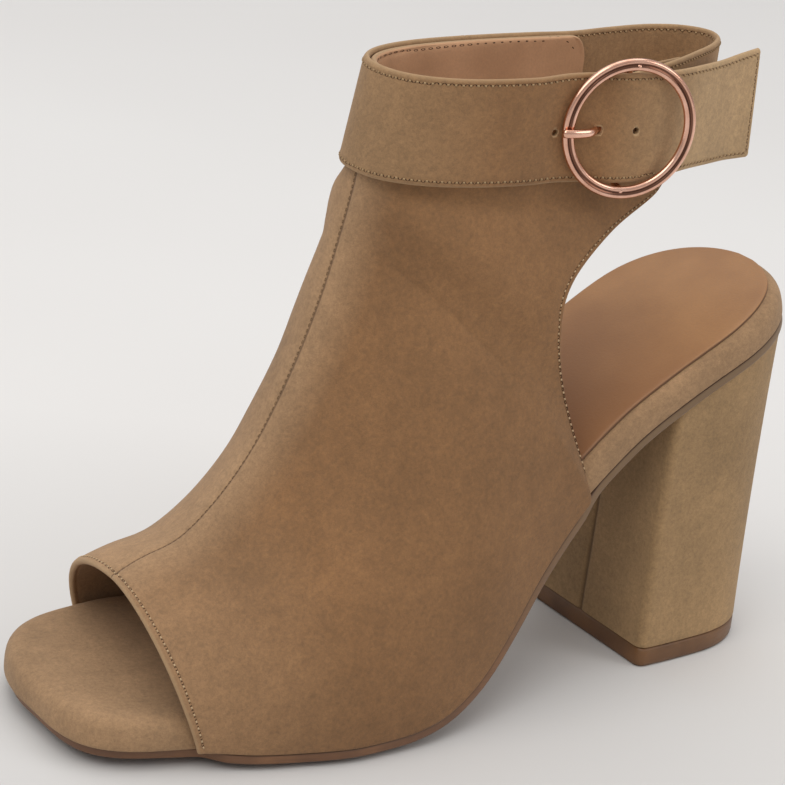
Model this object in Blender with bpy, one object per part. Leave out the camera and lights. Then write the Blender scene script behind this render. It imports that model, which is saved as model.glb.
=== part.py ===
"""Left peep toe sandal with a block heel and a buckled ankle band.

Toe towards -X, heel towards +X, outer side -Y, inner side +Y, up +Z.
The origin is the centre of the heel's tread on the floor. Lengths are in metres.
"""

import math
from collections import namedtuple

import bmesh
import bpy
import numpy as np

# Sizes of the sole
SOLE_LENGTH = 0.2150
SOLE_BACK = 0.0216
HALF_BALL = 0.04025
SEAT_HEIGHT = 0.0970
OUTSOLE_EDGE = 0.0026
TREAD_DROP = 0.0023
OUTSOLE_INSET = 0.0003
OUTSOLE_STANDS_OUT = 0.0021
FOOTBED_THICKNESS = 0.0080
SOCK_THICKNESS = 0.0008
SOCK_MARGIN = 0.0026
SOCK_BEVEL = 0.0004
SOCK_FRONT_SHARE = 0.66
SOCK_FRONT_ROUND = 0.0605
SOCK_ROUNDNESS = 2.4
BACK_ROUND_SHARE = 0.13
TOE_ROUND_SHARE = 0.198
BACK_ROUNDNESS = 2.1
TOE_OUTER_ROUNDNESS = 4.4
TOE_INNER_ROUNDNESS = 2.1
TOE_END_SHARE = 0.999
TOE_TIP_Y = 0.0020
TOE_OUTSOLE_INSET = 0.0015
TOE_INSET_SHARE = 0.80
TOE_INSET_BLEND = 0.12
COVER_BACK_SHARE = 0.325
COVER_FRONT_SHARE = 0.855
COVER_BLEND = 0.02
OUTSOLE_BEVEL = 0.0005
TREAD_STEP_INSET = 0.0060
TREAD_INSET = 0.0100
TREAD_BACK_SHARE = 0.50
TREAD_BLEND = 0.08
FLAT_BACK_SHARE = 0.64
FLAT_FRONT_SHARE = 0.80

# Sizes of the heel
TREAD_LENGTH = 0.0466
TREAD_WIDTH = 1.3416 * HALF_BALL
BREAST_TOP_X = -0.0240
HEEL_TIP_HEIGHT = 0.0055
HEEL_SIDE_TAPER = 0.0045
HEEL_CORNER = 0.0024
HEEL_TOP_INSET = 0.0013
HEEL_HOLLOW = 0.0007
HEEL_BACK_SHARE = 0.0085
CORNER_STEPS = 0.10
SIDE_STEPS = 0.55
LAST_STEP = 0.997
TREAD_ROUND_START = 0.08
TREAD_ROUND_RUN = 0.581
TREAD_ROUNDNESS = 2.6

# Sizes of the upper and its bands
COLLAR_HEIGHT = 0.1640
UPPER_WALL = 0.0018
CUFF_WALL = 0.0016
STRAP_WALL = 0.0015
GAP = 0.0003
BAND_GAP = 0.0005
FEATHER_GAP = 0.0007
FEATHER_RISE = 0.0005
INNER_CORNER = 0.0062
COLLAR_SPAN = 0.0265
COLLAR_REACH = 0.1400

# Sizes of the buckle
RING_LENGTH_SHARE = 0.3583
RING_WIDTH_SHARE = 0.6745
RING_HEIGHT_SHARE = 0.9293
RING_DIAMETER = 0.0356
RING_TURN = math.radians(14.0)
TUBE_RADIUS = 0.00085
TUBE_SPACING = 0.0014
BAR_RADIUS = 0.0009
BAR_SETBACK = 0.0047
BAR_HALF_HEIGHT = 0.0153
PRONG_HALF_HEIGHT = 0.0011
PRONG_HALF_THICKNESS = 0.0008
PRONG_DROP = 0.0010
PRONG_WRAP = 0.0019
STRAP_WRAP = 0.00195
FOLD_HALF_HEIGHT = 0.0120
SLOT_HALF_HEIGHT = 0.0015
SLOT_HALF_LENGTH = 0.0028
SLOT_FROM_BAR = 0.0083
SLOT_SQUARENESS = 0.6
STRAP_SLOT_HALF_LENGTH = 0.0036
CUFF_SLOT_DEPTHS = (-0.0062, 0.0025)
STRAP_SLOT_DEPTHS = (-0.0090, -0.0005)

# Share of the sole's length from the back, and of the seat's height
SolePoint = namedtuple("SolePoint", "length height")
SOLE_LINE = (
    SolePoint(0, 1),
    SolePoint(0.06, 0.9515),
    SolePoint(0.12, 0.8907),
    SolePoint(0.19, 0.8021),
    SolePoint(0.25, 0.7093),
    SolePoint(0.33, 0.5526),
    SolePoint(0.4, 0.3979),
    SolePoint(0.46, 0.2392),
    SolePoint(0.52, 0.1093),
    SolePoint(0.57, 0.0608),
    SolePoint(0.62, 0.0443),
    SolePoint(0.68, 0.0412),
    SolePoint(0.74, 0.0412),
    SolePoint(0.8, 0.0443),
    SolePoint(0.9, 0.0536),
    SolePoint(1, 0.0577),
)

# Share of the sole's length, then shares of half the ball's width
PlanPoint = namedtuple("PlanPoint", "length outer inner")
SOLE_PLAN = (
    PlanPoint(0, 0.6932, 0.6957),
    PlanPoint(0.13, 0.6957, 0.7056),
    PlanPoint(0.2, 0.6807, 0.6957),
    PlanPoint(0.27, 0.6559, 0.6708),
    PlanPoint(0.33, 0.6658, 0.641),
    PlanPoint(0.4, 0.7503, 0.6211),
    PlanPoint(0.5, 0.9292, 0.6708),
    PlanPoint(0.6, 1.0335, 0.795),
    PlanPoint(0.68, 1.0509, 0.9068),
    PlanPoint(0.75, 0.9839, 0.9689),
    PlanPoint(0.8, 0.9217, 0.9839),
    PlanPoint(0.86, 0.8075, 0.964),
    PlanPoint(1, 0.7528, 1.0932),
)

# Footbed edge from its underside up: how far in from the outline, and height as a share
EdgePoint = namedtuple("EdgePoint", "inset rise")
FOOTBED_EDGE = (
    EdgePoint(0.0013, 0.0),
    EdgePoint(0.0004, 0.05),
    EdgePoint(0.0, 0.17),
    EdgePoint(0.0, 0.55),
    EdgePoint(0.0006, 0.79),
    EdgePoint(0.0018, 0.94),
    EdgePoint(0.0038, 1.0),
)

# One row per section of the upper, from the toe to the collar. Lengths are shares of the
# sole's length, widths of half the ball's width, heights of the collar's height. An end
# with no width of its own lies on the sole. Handles are measured from the seam and the end.
End = namedtuple("End", "length width height forward out up")
Handle = namedtuple("Handle", "forward out up")
Section = namedtuple("Section", "name seam_length seam_height outer_top inner_top outer inner")
SECTIONS = (
    Section("toe_rim", 0.907, 0.2335,
            Handle(-0.007, 0.3975, 0.0061), Handle(-0.0009, 0.4323, 0.0037),
            End(0.8665, None, None, -0.0372, 0.0373, 0.122),
            End(0.833, None, None, -0.0302, 0.0323, 0.1183)),
    Section("toe_box", 0.8712, 0.2561,
            Handle(0.0023, 0.4472, 0), Handle(0.0023, 0.4422, 0),
            End(0.8237, None, None, -0.0209, 0.0621, 0.1372),
            End(0.8005, None, None, -0.0209, 0.0422, 0.1293)),
    Section("vamp_low", 0.8214, 0.2805,
            Handle(0.0093, 0.4969, -0.003), Handle(0.0047, 0.4373, -0.0085),
            End(0.7679, None, None, -0.014, 0.087, 0.1524),
            End(0.754, None, None, -0.014, 0.0571, 0.15)),
    Section("vamp", 0.7758, 0.3366,
            Handle(0.014, 0.4845, -0.0091), Handle(0.0009, 0.4224, -0.0079),
            End(0.7098, None, None, -0.0186, 0.0994, 0.1829),
            End(0.7028, None, None, -0.0163, 0.0646, 0.1848)),
    Section("ball", 0.7377, 0.4073,
            Handle(0.0186, 0.4596, -0.0122), Handle(-0.0047, 0.4099, 0),
            End(0.647, None, None, -0.0279, 0.1118, 0.2256),
            End(0.647, None, None, -0.0279, 0.087, 0.2256)),
    Section("instep_1", 0.7107, 0.4787,
            Handle(0.0233, 0.4472, -0.0152), Handle(-0.0177, 0.4174, 0.0061),
            End(0.5795, None, None, -0.0465, 0.1242, 0.2744),
            End(0.5842, None, None, -0.0465, 0.1118, 0.2744)),
    Section("instep_2", 0.6874, 0.5579,
            Handle(0.0256, 0.4348, -0.0152), Handle(-0.027, 0.4224, 0.0061),
            End(0.5098, None, None, -0.0698, 0.1615, 0.3171),
            End(0.5144, None, None, -0.0698, 0.1491, 0.3171)),
    Section("instep_3", 0.6688, 0.6341,
            Handle(0.0256, 0.4224, -0.0122), Handle(-0.0298, 0.4273, 0.0061),
            End(0.4423, None, None, -0.0977, 0.1988, 0.3415),
            End(0.447, None, None, -0.0977, 0.1863, 0.3415)),
    Section("ankle_1", 0.6581, 0.6921,
            Handle(0.0209, 0.4224, -0.0091), Handle(-0.0307, 0.4273, 0.003),
            End(0.3842, None, None, -0.1209, 0.1739, 0.3171),
            End(0.3865, None, None, -0.1209, 0.1615, 0.3171)),
    Section("waist", 0.6512, 0.7378,
            Handle(0.014, 0.4348, -0.0061), Handle(-0.0288, 0.4323, 0.003),
            End(0.334, None, None, -0.1442, 0.0994, 0.2683),
            End(0.3353, None, None, -0.1442, 0.0745, 0.2683)),
    Section("back_low", 0.6465, 0.7683,
            Handle(0.0093, 0.4596, -0.003), Handle(-0.027, 0.4422, 0.0018),
            End(0.386, 0.646, 0.497, -0.1302, 0.0621, 0.1585),
            End(0.386, 0.6335, 0.497, -0.1302, 0.0248, 0.1585)),
    Section("back_waist", 0.6437, 0.7896,
            Handle(0.0037, 0.477, 0), Handle(-0.0242, 0.4472, 0),
            End(0.4079, 0.646, 0.614, -0.1256, 0.0621, 0.0915),
            End(0.4079, 0.6211, 0.614, -0.1209, 0.0124, 0.0915)),
    Section("back_high", 0.6419, 0.8061,
            Handle(0.0009, 0.4919, 0), Handle(-0.0214, 0.4472, 0),
            End(0.3963, 0.6161, 0.686, -0.1349, 0.0745, 0.061),
            End(0.3963, 0.6087, 0.686, -0.1256, 0.0199, 0.061)),
    Section("back_top", 0.6409, 0.8183,
            Handle(-0.0023, 0.5068, 0.0012), Handle(-0.0177, 0.4472, 0),
            End(0.3302, 0.5019, 0.7537, -0.1674, 0.1615, 0.0366),
            End(0.347, 0.5913, 0.7439, -0.1488, 0.0248, 0.0366)),
    Section("under_cuff", 0.6405, 0.8293,
            Handle(-0.0047, 0.5267, 0.0018), Handle(-0.0121, 0.4373, 0),
            End(0.2391, 0.313, 0.7951, -0.2093, 0.323, 0.0183),
            End(0.2958, 0.5764, 0.7896, -0.186, 0.0298, 0.0183)),
    Section("cuff_line", 0.64, 0.8384,
            Handle(-0.007, 0.5466, 0.0018), Handle(-0.0037, 0.4273, 0),
            End(0.2167, 0.2335, 0.8354, -0.2326, 0.4348, 0.0061),
            End(0.254, 0.554, 0.8293, -0.2233, 0.0373, 0.0061)),
    Section("collar", 0.626, 1.0012,
            Handle(-0.007, 0.559, 0), Handle(0.0093, 0.3851, 0),
            End(0.226, 0.2435, 1.0079, -0.2279, 0.4273, 0.0012),
            End(0.254, 0.559, 0.9927, -0.2419, 0.0075, 0.003)),
)

# Middle of the heel strap where it leaves the upper. Widths are signed, inner side positive;
# low and high are the two edges.
BandPoint = namedtuple("BandPoint", "name length width low high")
STRAP_PATH = (
    BandPoint("inner_side", 0.2121, 0.6112, 0.8293, 0.9951),
    BandPoint("inner_back", 0.147, 0.6112, 0.8317, 0.9976),
    BandPoint("back_corner", 0.106, 0.5217, 0.8341, 1),
    BandPoint("back", 0.0912, 0.3627, 0.8366, 1.0024),
    BandPoint("back_outer", 0.1033, 0.1839, 0.839, 1.0049),
    BandPoint("outer_back", 0.1423, -0.0199, 0.8415, 1.0079),
    BandPoint("outer_side", 0.1981, -0.2137, 0.8439, 1.011),
)

# Middle of a band near the buckle, measured from the ring's centre: along to the back, out
# from the ring's plane, and up to the two edges. The lower edge can lie further along by a
# slant. First the heel strap, up to its fold.
RingPoint = namedtuple("RingPoint", "name along out low high slant", defaults=(0.0,))
STRAP_END = (
    RingPoint("under_tail", 0.0188, -0.0170, -0.0135, 0.0135),
    RingPoint("near_bar", 0.0090, -0.0108, -0.0128, 0.0128),
)

# Then the outer band, from the ring's front rim to its free end
TAIL_PATH = (
    RingPoint("left_rim", -0.0168, -0.0022, -0.0146, 0.0130),
    RingPoint("rise", -0.0092, -0.0024, -0.0144, 0.0134),
    RingPoint("bar_crest", -0.0010, -0.0010, -0.0141, 0.0138),
    RingPoint("past_bar", 0.0074, -0.0024, -0.0137, 0.0140),
    RingPoint("right_rim", 0.0155, -0.0056, -0.0130, 0.0141),
    RingPoint("tail_start", 0.0223, -0.0102, -0.0131, 0.0139),
    RingPoint("tail_mid", 0.0316, -0.0173, -0.0139, 0.0135),
    RingPoint("tail_far", 0.0395, -0.0231, -0.0145, 0.0138),
    RingPoint("tail_end", 0.0474, -0.0281, -0.0150, 0.0143, 0.0015),
)

# How far round each half of the collar the cuff is measured from the upper
CUFF_INNER_STEPS = (0.70, 0.56, 0.43, 0.32, 0.22, 0.12)
CUFF_OUTER_STEPS = (0.0, 0.12, 0.22, 0.32, 0.42, 0.51, 0.59)
STRAP_INNER_STEPS = (0.713, 0.81, 0.90, 0.98)

# The strap's end past its fold: along the buckle and out from the ring's plane
FOLD_END = ((0.0035, -0.0034), (0.0070, -0.0043))

# Prong from the top of its loop to its tip: along the buckle and out from the ring's plane
PRONG_PATH = (
    (-0.0030, -0.0032),
    (-0.0057, -0.0036),
    (-0.0075, -0.0027),
    (-0.0087, -0.0010),
    (-0.0104, 0.0006),
    (-0.0127, 0.0014),
    (-0.0152, 0.0019),
    (-0.0177, 0.0020),
)

# The bar behind the ring, from its top end to its middle: out from the ring's plane, and how
# far above or below the half height
BAR_PATH = (
    (0.0, 0.0004),
    (-0.0018, 0.0),
    (-0.0036, -0.0003),
    (-BAR_SETBACK, -0.0016),
)


def clear_scene():
    for old in list(bpy.data.objects):
        bpy.data.objects.remove(old, do_unlink=True)


def material(name, colour, roughness, metallic=0.0):
    made = bpy.data.materials.new(name)
    made.use_nodes = True
    shader = made.node_tree.nodes["Principled BSDF"]
    shader.inputs["Base Color"].default_value = (*colour, 1.0)
    shader.inputs["Roughness"].default_value = roughness
    shader.inputs["Metallic"].default_value = metallic
    return made


def mesh_object(name, points, faces, surface, smooth=True):
    mesh = bpy.data.meshes.new(name)
    mesh.from_pydata([tuple(map(float, p)) for p in points], [], [tuple(map(int, f)) for f in faces])
    build = bmesh.new()
    build.from_mesh(mesh)
    bmesh.ops.recalc_face_normals(build, faces=build.faces)
    build.to_mesh(mesh)
    build.free()
    made = bpy.data.objects.new(name, mesh)
    bpy.context.scene.collection.objects.link(made)
    mesh.materials.append(surface)
    if smooth:
        mesh.shade_smooth()
        mesh.set_sharp_from_angle(angle=math.radians(50))
    return made


def steady(xs, ys, x):
    """Monotone cubic through a table, so that a curve has no bumps between its rows."""
    xs = np.asarray(xs, float)
    ys = np.asarray(ys, float)
    x = np.clip(np.asarray(x, float), xs[0], xs[-1])
    step = np.diff(xs)
    slope = np.diff(ys) / step
    tangent = np.zeros(len(xs))
    tangent[0] = slope[0]
    tangent[-1] = slope[-1]
    for i in range(1, len(xs) - 1):
        if slope[i - 1] * slope[i] > 0:
            before = 2 * step[i] + step[i - 1]
            after = step[i] + 2 * step[i - 1]
            tangent[i] = (before + after) / (before / slope[i - 1] + after / slope[i])
    i = np.clip(np.searchsorted(xs, x, side="right") - 1, 0, len(step) - 1)
    t = (x - xs[i]) / step[i]
    return (
        (1 + 2 * t) * (1 - t) ** 2 * ys[i]
        + t * (1 - t) ** 2 * step[i] * tangent[i]
        + t * t * (3 - 2 * t) * ys[i + 1]
        + t * t * (t - 1) * step[i] * tangent[i + 1]
    )


def through(knots, per_span):
    """Points on a smooth curve through the knots, spaced by chord so that close knots stay calm."""
    knots = np.asarray(knots, float)
    chord = np.maximum(np.linalg.norm(np.diff(knots[:, :3], axis=0), axis=1), 1e-6) ** 0.5
    place = np.concatenate([[0.0], np.cumsum(chord)])
    tangent = np.empty_like(knots)
    slope = np.diff(knots, axis=0) / chord[:, None]
    tangent[0] = slope[0]
    tangent[-1] = slope[-1]
    for i in range(1, len(knots) - 1):
        tangent[i] = (slope[i - 1] * chord[i] + slope[i] * chord[i - 1]) / (chord[i] + chord[i - 1])
    found = []
    for i in range(len(chord)):
        for t in np.arange(per_span) / per_span:
            found.append(
                (1 + 2 * t) * (1 - t) ** 2 * knots[i]
                + t * (1 - t) ** 2 * chord[i] * tangent[i]
                + t * t * (3 - 2 * t) * knots[i + 1]
                + t * t * (t - 1) * chord[i] * tangent[i + 1]
            )
    found.append(knots[-1])
    return np.array(found)


def sole_x(share):
    return SOLE_BACK - np.asarray(share) * SOLE_LENGTH


def sole_share(x):
    return (SOLE_BACK - np.asarray(x)) / SOLE_LENGTH


def sole_top(share):
    """Height of the outsole's upper side."""
    return SEAT_HEIGHT * steady([p.length for p in SOLE_LINE], [p.height for p in SOLE_LINE], share)


def sole_point(share, rise):
    """A point of the sole's side view, this far above the outsole's upper side, square to it."""
    step = 0.004
    low = np.maximum(share - step, 0.0)
    high = np.minimum(share + step, 1.0)
    along_x = sole_x(high) - sole_x(low)
    along_z = sole_top(high) - sole_top(low)
    size = np.hypot(along_x, along_z)
    return sole_x(share) + rise * along_z / size, sole_top(share) - rise * along_x / size


def end_round(share, roundness):
    back = np.clip((BACK_ROUND_SHARE - share) / BACK_ROUND_SHARE, 0.0, 1.0)
    toe = np.clip((share - TOE_END_SHARE + TOE_ROUND_SHARE) / TOE_ROUND_SHARE, 0.0, 1.0)
    back_cap = (1.0 - back**BACK_ROUNDNESS) ** (1.0 / BACK_ROUNDNESS)
    return back_cap * (1.0 - toe**roundness) ** (1.0 / roundness)


def sole_sides(share):
    """Y of the footbed's outer and inner edge. The tip of the toe lies towards the inner side."""
    share = np.asarray(share, float)
    lengths = [p.length for p in SOLE_PLAN]
    outer = steady(lengths, [p.outer for p in SOLE_PLAN], share) * HALF_BALL
    inner = steady(lengths, [p.inner for p in SOLE_PLAN], share) * HALF_BALL
    middle = TOE_TIP_Y * np.clip((share - TOE_END_SHARE + TOE_ROUND_SHARE) / TOE_ROUND_SHARE, 0.0, 1.0) ** 3
    outer = middle - outer * end_round(share, TOE_OUTER_ROUNDNESS)
    return outer, middle + inner * end_round(share, TOE_INNER_ROUNDNESS)


def sole_outline(count=38):
    """Shares and sides of the footbed's outline, closer together at the two ends."""
    even = np.linspace(0.0, 1.0, count)
    share = 0.001 + (TOE_END_SHARE - 0.002) * (0.22 * even + 0.78 * (0.5 - 0.5 * np.cos(np.pi * even)))
    outer, inner = sole_sides(share)
    return share, outer, inner


def grown(share, outer, inner, by):
    """The outline moved out by a distance, square to itself, as shares and sides."""
    x = np.concatenate([sole_x(share), sole_x(share)[::-1]])
    y = np.concatenate([outer, inner[::-1]])
    by = np.concatenate([by, by[::-1]])
    dx = np.roll(x, -1) - np.roll(x, 1)
    dy = np.roll(y, -1) - np.roll(y, 1)
    size = np.hypot(dx, dy)
    x = x - by * dy / size
    y = y + by * dx / size
    n = len(share)
    return (x[:n], y[:n]), (x[n:][::-1], y[n:][::-1])


def stacked(name, loops, surface):
    """A solid from closed loops of equal length, each an outer and an inner row of points."""
    n = len(loops[0][0])
    points = []
    for outer, inner in loops:
        points += list(outer) + list(inner[::-1])
    faces = []
    size = 2 * n
    for k in range(len(loops) - 1):
        for i in range(size):
            j = (i + 1) % size
            faces.append((k * size + i, k * size + j, (k + 1) * size + j, (k + 1) * size + i))
    for k, turn in ((0, True), (len(loops) - 1, False)):
        for i in range(n - 1):
            face = (k * size + i, k * size + i + 1, k * size + size - 2 - i, k * size + size - 1 - i)
            faces.append(face[::-1] if turn else face)
    return mesh_object(name, points, faces, surface)


def rows(side, rise):
    """3-D points of one side of a sole loop, standing a rise above the outsole's upper side."""
    x, y = side
    px, pz = sole_point(sole_share(x), rise)
    return np.stack([px, y, pz], axis=1)


def covered(share):
    """One where the upper comes down over the sole, none at the bare toe and under the heel."""
    toe = np.clip((COVER_FRONT_SHARE - share) / COVER_BLEND, 0.0, 1.0)
    back = np.clip((share - COVER_BACK_SHARE) / COVER_BLEND, 0.0, 1.0)
    return toe * back


def outsole(surface):
    share, outer, inner = sole_outline()
    toe = np.clip((share - TOE_INSET_SHARE) / TOE_INSET_BLEND, 0.0, 1.0)
    bare = OUTSOLE_INSET + TOE_OUTSOLE_INSET * toe
    out = covered(share) * (OUTSOLE_STANDS_OUT + bare) - bare
    front = np.clip((share - TREAD_BACK_SHARE) / TREAD_BLEND, 0.0, 1.0)
    front = front * np.clip((1.0 - share) / TREAD_BLEND, 0.0, 1.0)
    level = (share > FLAT_BACK_SHARE) & (share < FLAT_FRONT_SHARE)
    loops = []
    for inset, depth, tread in (
        (0.0, 0.0, 0.0),
        (0.0, OUTSOLE_EDGE - OUTSOLE_BEVEL, 0.0),
        (OUTSOLE_BEVEL, OUTSOLE_EDGE, 0.0),
        (TREAD_STEP_INSET, OUTSOLE_EDGE, TREAD_DROP * 0.75),
        (TREAD_INSET, OUTSOLE_EDGE, TREAD_DROP),
    ):
        pair = []
        for side in grown(share, outer, inner, out - inset):
            found = rows(side, -(depth + tread * front))
            found[:, 2] = np.maximum(found[:, 2], 0.0)
            if inset == TREAD_INSET:
                found[level, 2] = 0.0
            pair.append(found)
        loops.append(pair)
    return stacked("outsole", loops[::-1], surface)


def footbed(surface):
    share, outer, inner = sole_outline()
    loops = []
    for edge in FOOTBED_EDGE:
        rise = GAP + edge.rise * FOOTBED_THICKNESS
        sides = grown(share, outer, inner, np.full(len(share), -edge.inset))
        loops.append([rows(side, rise) for side in sides])
    return stacked("footbed", loops, surface)


def sock_plan(share):
    """Y of the sock's two sides: the footbed's outline, drawn in by the margin at the seat."""
    shift = SOCK_MARGIN / SOLE_LENGTH
    blend = np.clip((BACK_ROUND_SHARE * 2 - share) / BACK_ROUND_SHARE, 0.0, 1.0)
    outer, inner = sole_sides(np.maximum(share - shift * blend, 0.0))
    middle = (outer + inner) / 2
    half = (inner - outer) / 2
    wide = float(np.diff(sole_sides(BACK_ROUND_SHARE))[0]) / 2
    half = half - SOCK_MARGIN * np.minimum(half / wide, 1.0)
    front = np.clip((share - SOCK_FRONT_SHARE + SOCK_FRONT_ROUND) / SOCK_FRONT_ROUND, 0.0, 1.0)
    half = half * (1.0 - front**SOCK_ROUNDNESS) ** (1.0 / SOCK_ROUNDNESS)
    return middle - half, middle + half


def sock_lining(surface):
    even = np.linspace(0.0, 1.0, 26)
    run = 0.5 - 0.5 * np.cos(np.pi * even)
    back = SOCK_MARGIN / SOLE_LENGTH + 0.001
    share = back + (SOCK_FRONT_SHARE - 0.0005 - back) * run
    outer, inner = sock_plan(share)
    loops = []
    base = GAP + FOOTBED_THICKNESS + 1.6 * GAP
    for shrink, rise in ((0.0, 0.0), (0.0, 0.6), (SOCK_BEVEL, 1.0)):
        x = sole_x(share)
        pair = [(x, outer + shrink), (x, inner - shrink)]
        loops.append([rows(side, base + rise * SOCK_THICKNESS) for side in pair])
    return stacked("sock_lining", loops, surface)


def heel_corner(k):
    """Angle round the heel's front corner, a right angle where the side begins."""
    return math.pi / 2 * np.clip(k / CORNER_STEPS, 0.0, 1.0)


def tread_plan(k):
    """X and half width of the heel's tread, from the breast (0) to the back (1)."""
    corner = heel_corner(k)
    front = -TREAD_LENGTH / 2
    run = np.clip((k - CORNER_STEPS) / (1.0 - CORNER_STEPS), 0.0, 1.0)
    x = front + HEEL_CORNER * (1 - np.cos(corner)) + run * (TREAD_LENGTH - HEEL_CORNER)
    width = TREAD_WIDTH / 2 - HEEL_CORNER * (1 - np.sin(corner)) - HEEL_SIDE_TAPER * run**1.3
    back = np.clip((x / TREAD_LENGTH + TREAD_ROUND_START) / TREAD_ROUND_RUN, 0.0, 1.0)
    return x, width * (1.0 - back**TREAD_ROUNDNESS) ** (1.0 / TREAD_ROUNDNESS)


def heel_steps():
    corner = np.linspace(0.0, CORNER_STEPS, 5)
    side = np.linspace(CORNER_STEPS, SIDE_STEPS, 7)[1:]
    back = SIDE_STEPS + (LAST_STEP - SIDE_STEPS) * np.sin(np.linspace(0.0, math.pi / 2, 12))[1:]
    return np.concatenate([corner, side, back])


def heel(surface):
    k = heel_steps()
    low_x, low_half = tread_plan(k)
    low_z = HEEL_TIP_HEIGHT + GAP
    breast = float(sole_share(BREAST_TOP_X))
    run = (low_x + TREAD_LENGTH / 2) / TREAD_LENGTH
    share = breast - (breast - HEEL_BACK_SHARE) * run
    out_y, in_y = sole_sides(share)
    corner_cut = HEEL_CORNER * (1 - np.sin(heel_corner(k)))
    top_x, top_z = sole_point(share, -(OUTSOLE_EDGE + GAP))
    top_out = np.minimum(out_y + HEEL_TOP_INSET + corner_cut, -0.002)
    top_in = np.maximum(in_y - HEEL_TOP_INSET - corner_cut, 0.002)
    loops = []
    for level in np.linspace(0.0, 1.0, 7):
        hollow = HEEL_HOLLOW * 4 * level * (1 - level)
        x = low_x + (top_x - low_x) * level
        z = low_z + (top_z - low_z) * level
        outer = -low_half + (top_out + low_half) * level + hollow
        inner = low_half + (top_in - low_half) * level - hollow
        loops.append([np.stack([x, outer, z], axis=1), np.stack([x, inner, z], axis=1)])
    return stacked("heel", loops, surface)


def heel_tip(surface):
    x, half = tread_plan(heel_steps())
    loops = []
    for inset, z in ((0.0005, 0.0), (0.0, 0.0006), (0.0, HEEL_TIP_HEIGHT)):
        scale = 1.0 - inset / (TREAD_WIDTH / 2)
        across = half * scale
        level = np.full(len(x), z)
        outer = np.stack([x * scale, -across, level], axis=1)
        inner = np.stack([x * scale, across, level], axis=1)
        loops.append([outer, inner])
    return stacked("heel_tip", loops, surface)


def feather_end(share, side):
    """The upper's outer face where it meets the sole. Side is -1 for outer, 1 for inner."""
    step = 0.003
    ys = [float(sole_sides(s)[0 if side < 0 else 1]) for s in (share - step, share, share + step)]
    dx = float(sole_x(share + step) - sole_x(share - step))
    dy = ys[2] - ys[0]
    size = math.hypot(dx, dy)
    out = FEATHER_GAP + UPPER_WALL
    x = float(sole_x(share)) + side * out * dy / size
    y = ys[1] - side * out * dx / size
    return np.array([x, y, float(sole_top(sole_share(x))) + FEATHER_RISE])


def spread(values, at, straight_last=True):
    """Smooth values between rows of the section table; the last span is straight."""
    values = np.asarray(values, float)
    i = min(int(at), len(values) - 2)
    t = at - i
    if straight_last and i == len(values) - 2:
        return values[i] + (values[i + 1] - values[i]) * t
    before = values[max(i - 1, 0)]
    after = values[min(i + 2, len(values) - 1)]
    start = (values[i + 1] - before) / (2.0 if i else 1.0)
    stop = (after - values[i]) / 2.0
    if straight_last and i == len(values) - 3:
        stop = values[i + 1] - values[i]
    return (
        (1 + 2 * t) * (1 - t) ** 2 * values[i]
        + t * (1 - t) ** 2 * start
        + t * t * (3 - 2 * t) * values[i + 1]
        + t * t * (t - 1) * stop
    )


LAST_ON_SOLE = max(i for i, row in enumerate(SECTIONS) if row.outer.width is None)
CUFF_ROW = len(SECTIONS) - 2


def section_controls(at, side):
    """Four control points of one half of a section, from the seam to its end."""
    ends = [row.outer if side < 0 else row.inner for row in SECTIONS]
    seam = np.array(
        [
            float(sole_x(spread([row.seam_length for row in SECTIONS], at))),
            0.0,
            COLLAR_HEIGHT * spread([row.seam_height for row in SECTIONS], at),
        ]
    )
    placed = []
    for end in ends:
        if end.width is None:
            placed.append(feather_end(end.length, side))
        else:
            placed.append(
                np.array(
                    [float(sole_x(end.length)), side * end.width * HALF_BALL, end.height * COLLAR_HEIGHT]
                )
            )
    if at <= LAST_ON_SOLE:
        share = spread([end.length for end in ends[: LAST_ON_SOLE + 1]], at, False)
        last = feather_end(share, side)
    else:
        last = spread(placed[LAST_ON_SOLE:], at - LAST_ON_SOLE)
    grow = np.array([SOLE_LENGTH, side * HALF_BALL, COLLAR_HEIGHT])
    tops = [row.outer_top if side < 0 else row.inner_top for row in SECTIONS]
    top = spread([[top.forward, top.out, top.up] for top in tops], at) * grow
    low = spread([[end.forward, end.out, end.up] for end in ends], at) * grow
    return seam, seam + top, last + low, last


def upper_point(at, t, side):
    a, b, c, d = section_controls(at, side)
    return (1 - t) ** 3 * a + 3 * (1 - t) ** 2 * t * b + 3 * (1 - t) * t * t * c + t**3 * d


def inner_reach(at):
    """How far round the inner half goes: the top corner of the inner tab is rounded."""
    height = (at - CUFF_ROW) * COLLAR_SPAN
    above = height - (COLLAR_SPAN - INNER_CORNER)
    if above <= 0:
        return 1.0
    cut = INNER_CORNER - math.sqrt(max(INNER_CORNER**2 - above**2, 0.0))
    return 1.0 - cut / COLLAR_REACH


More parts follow.
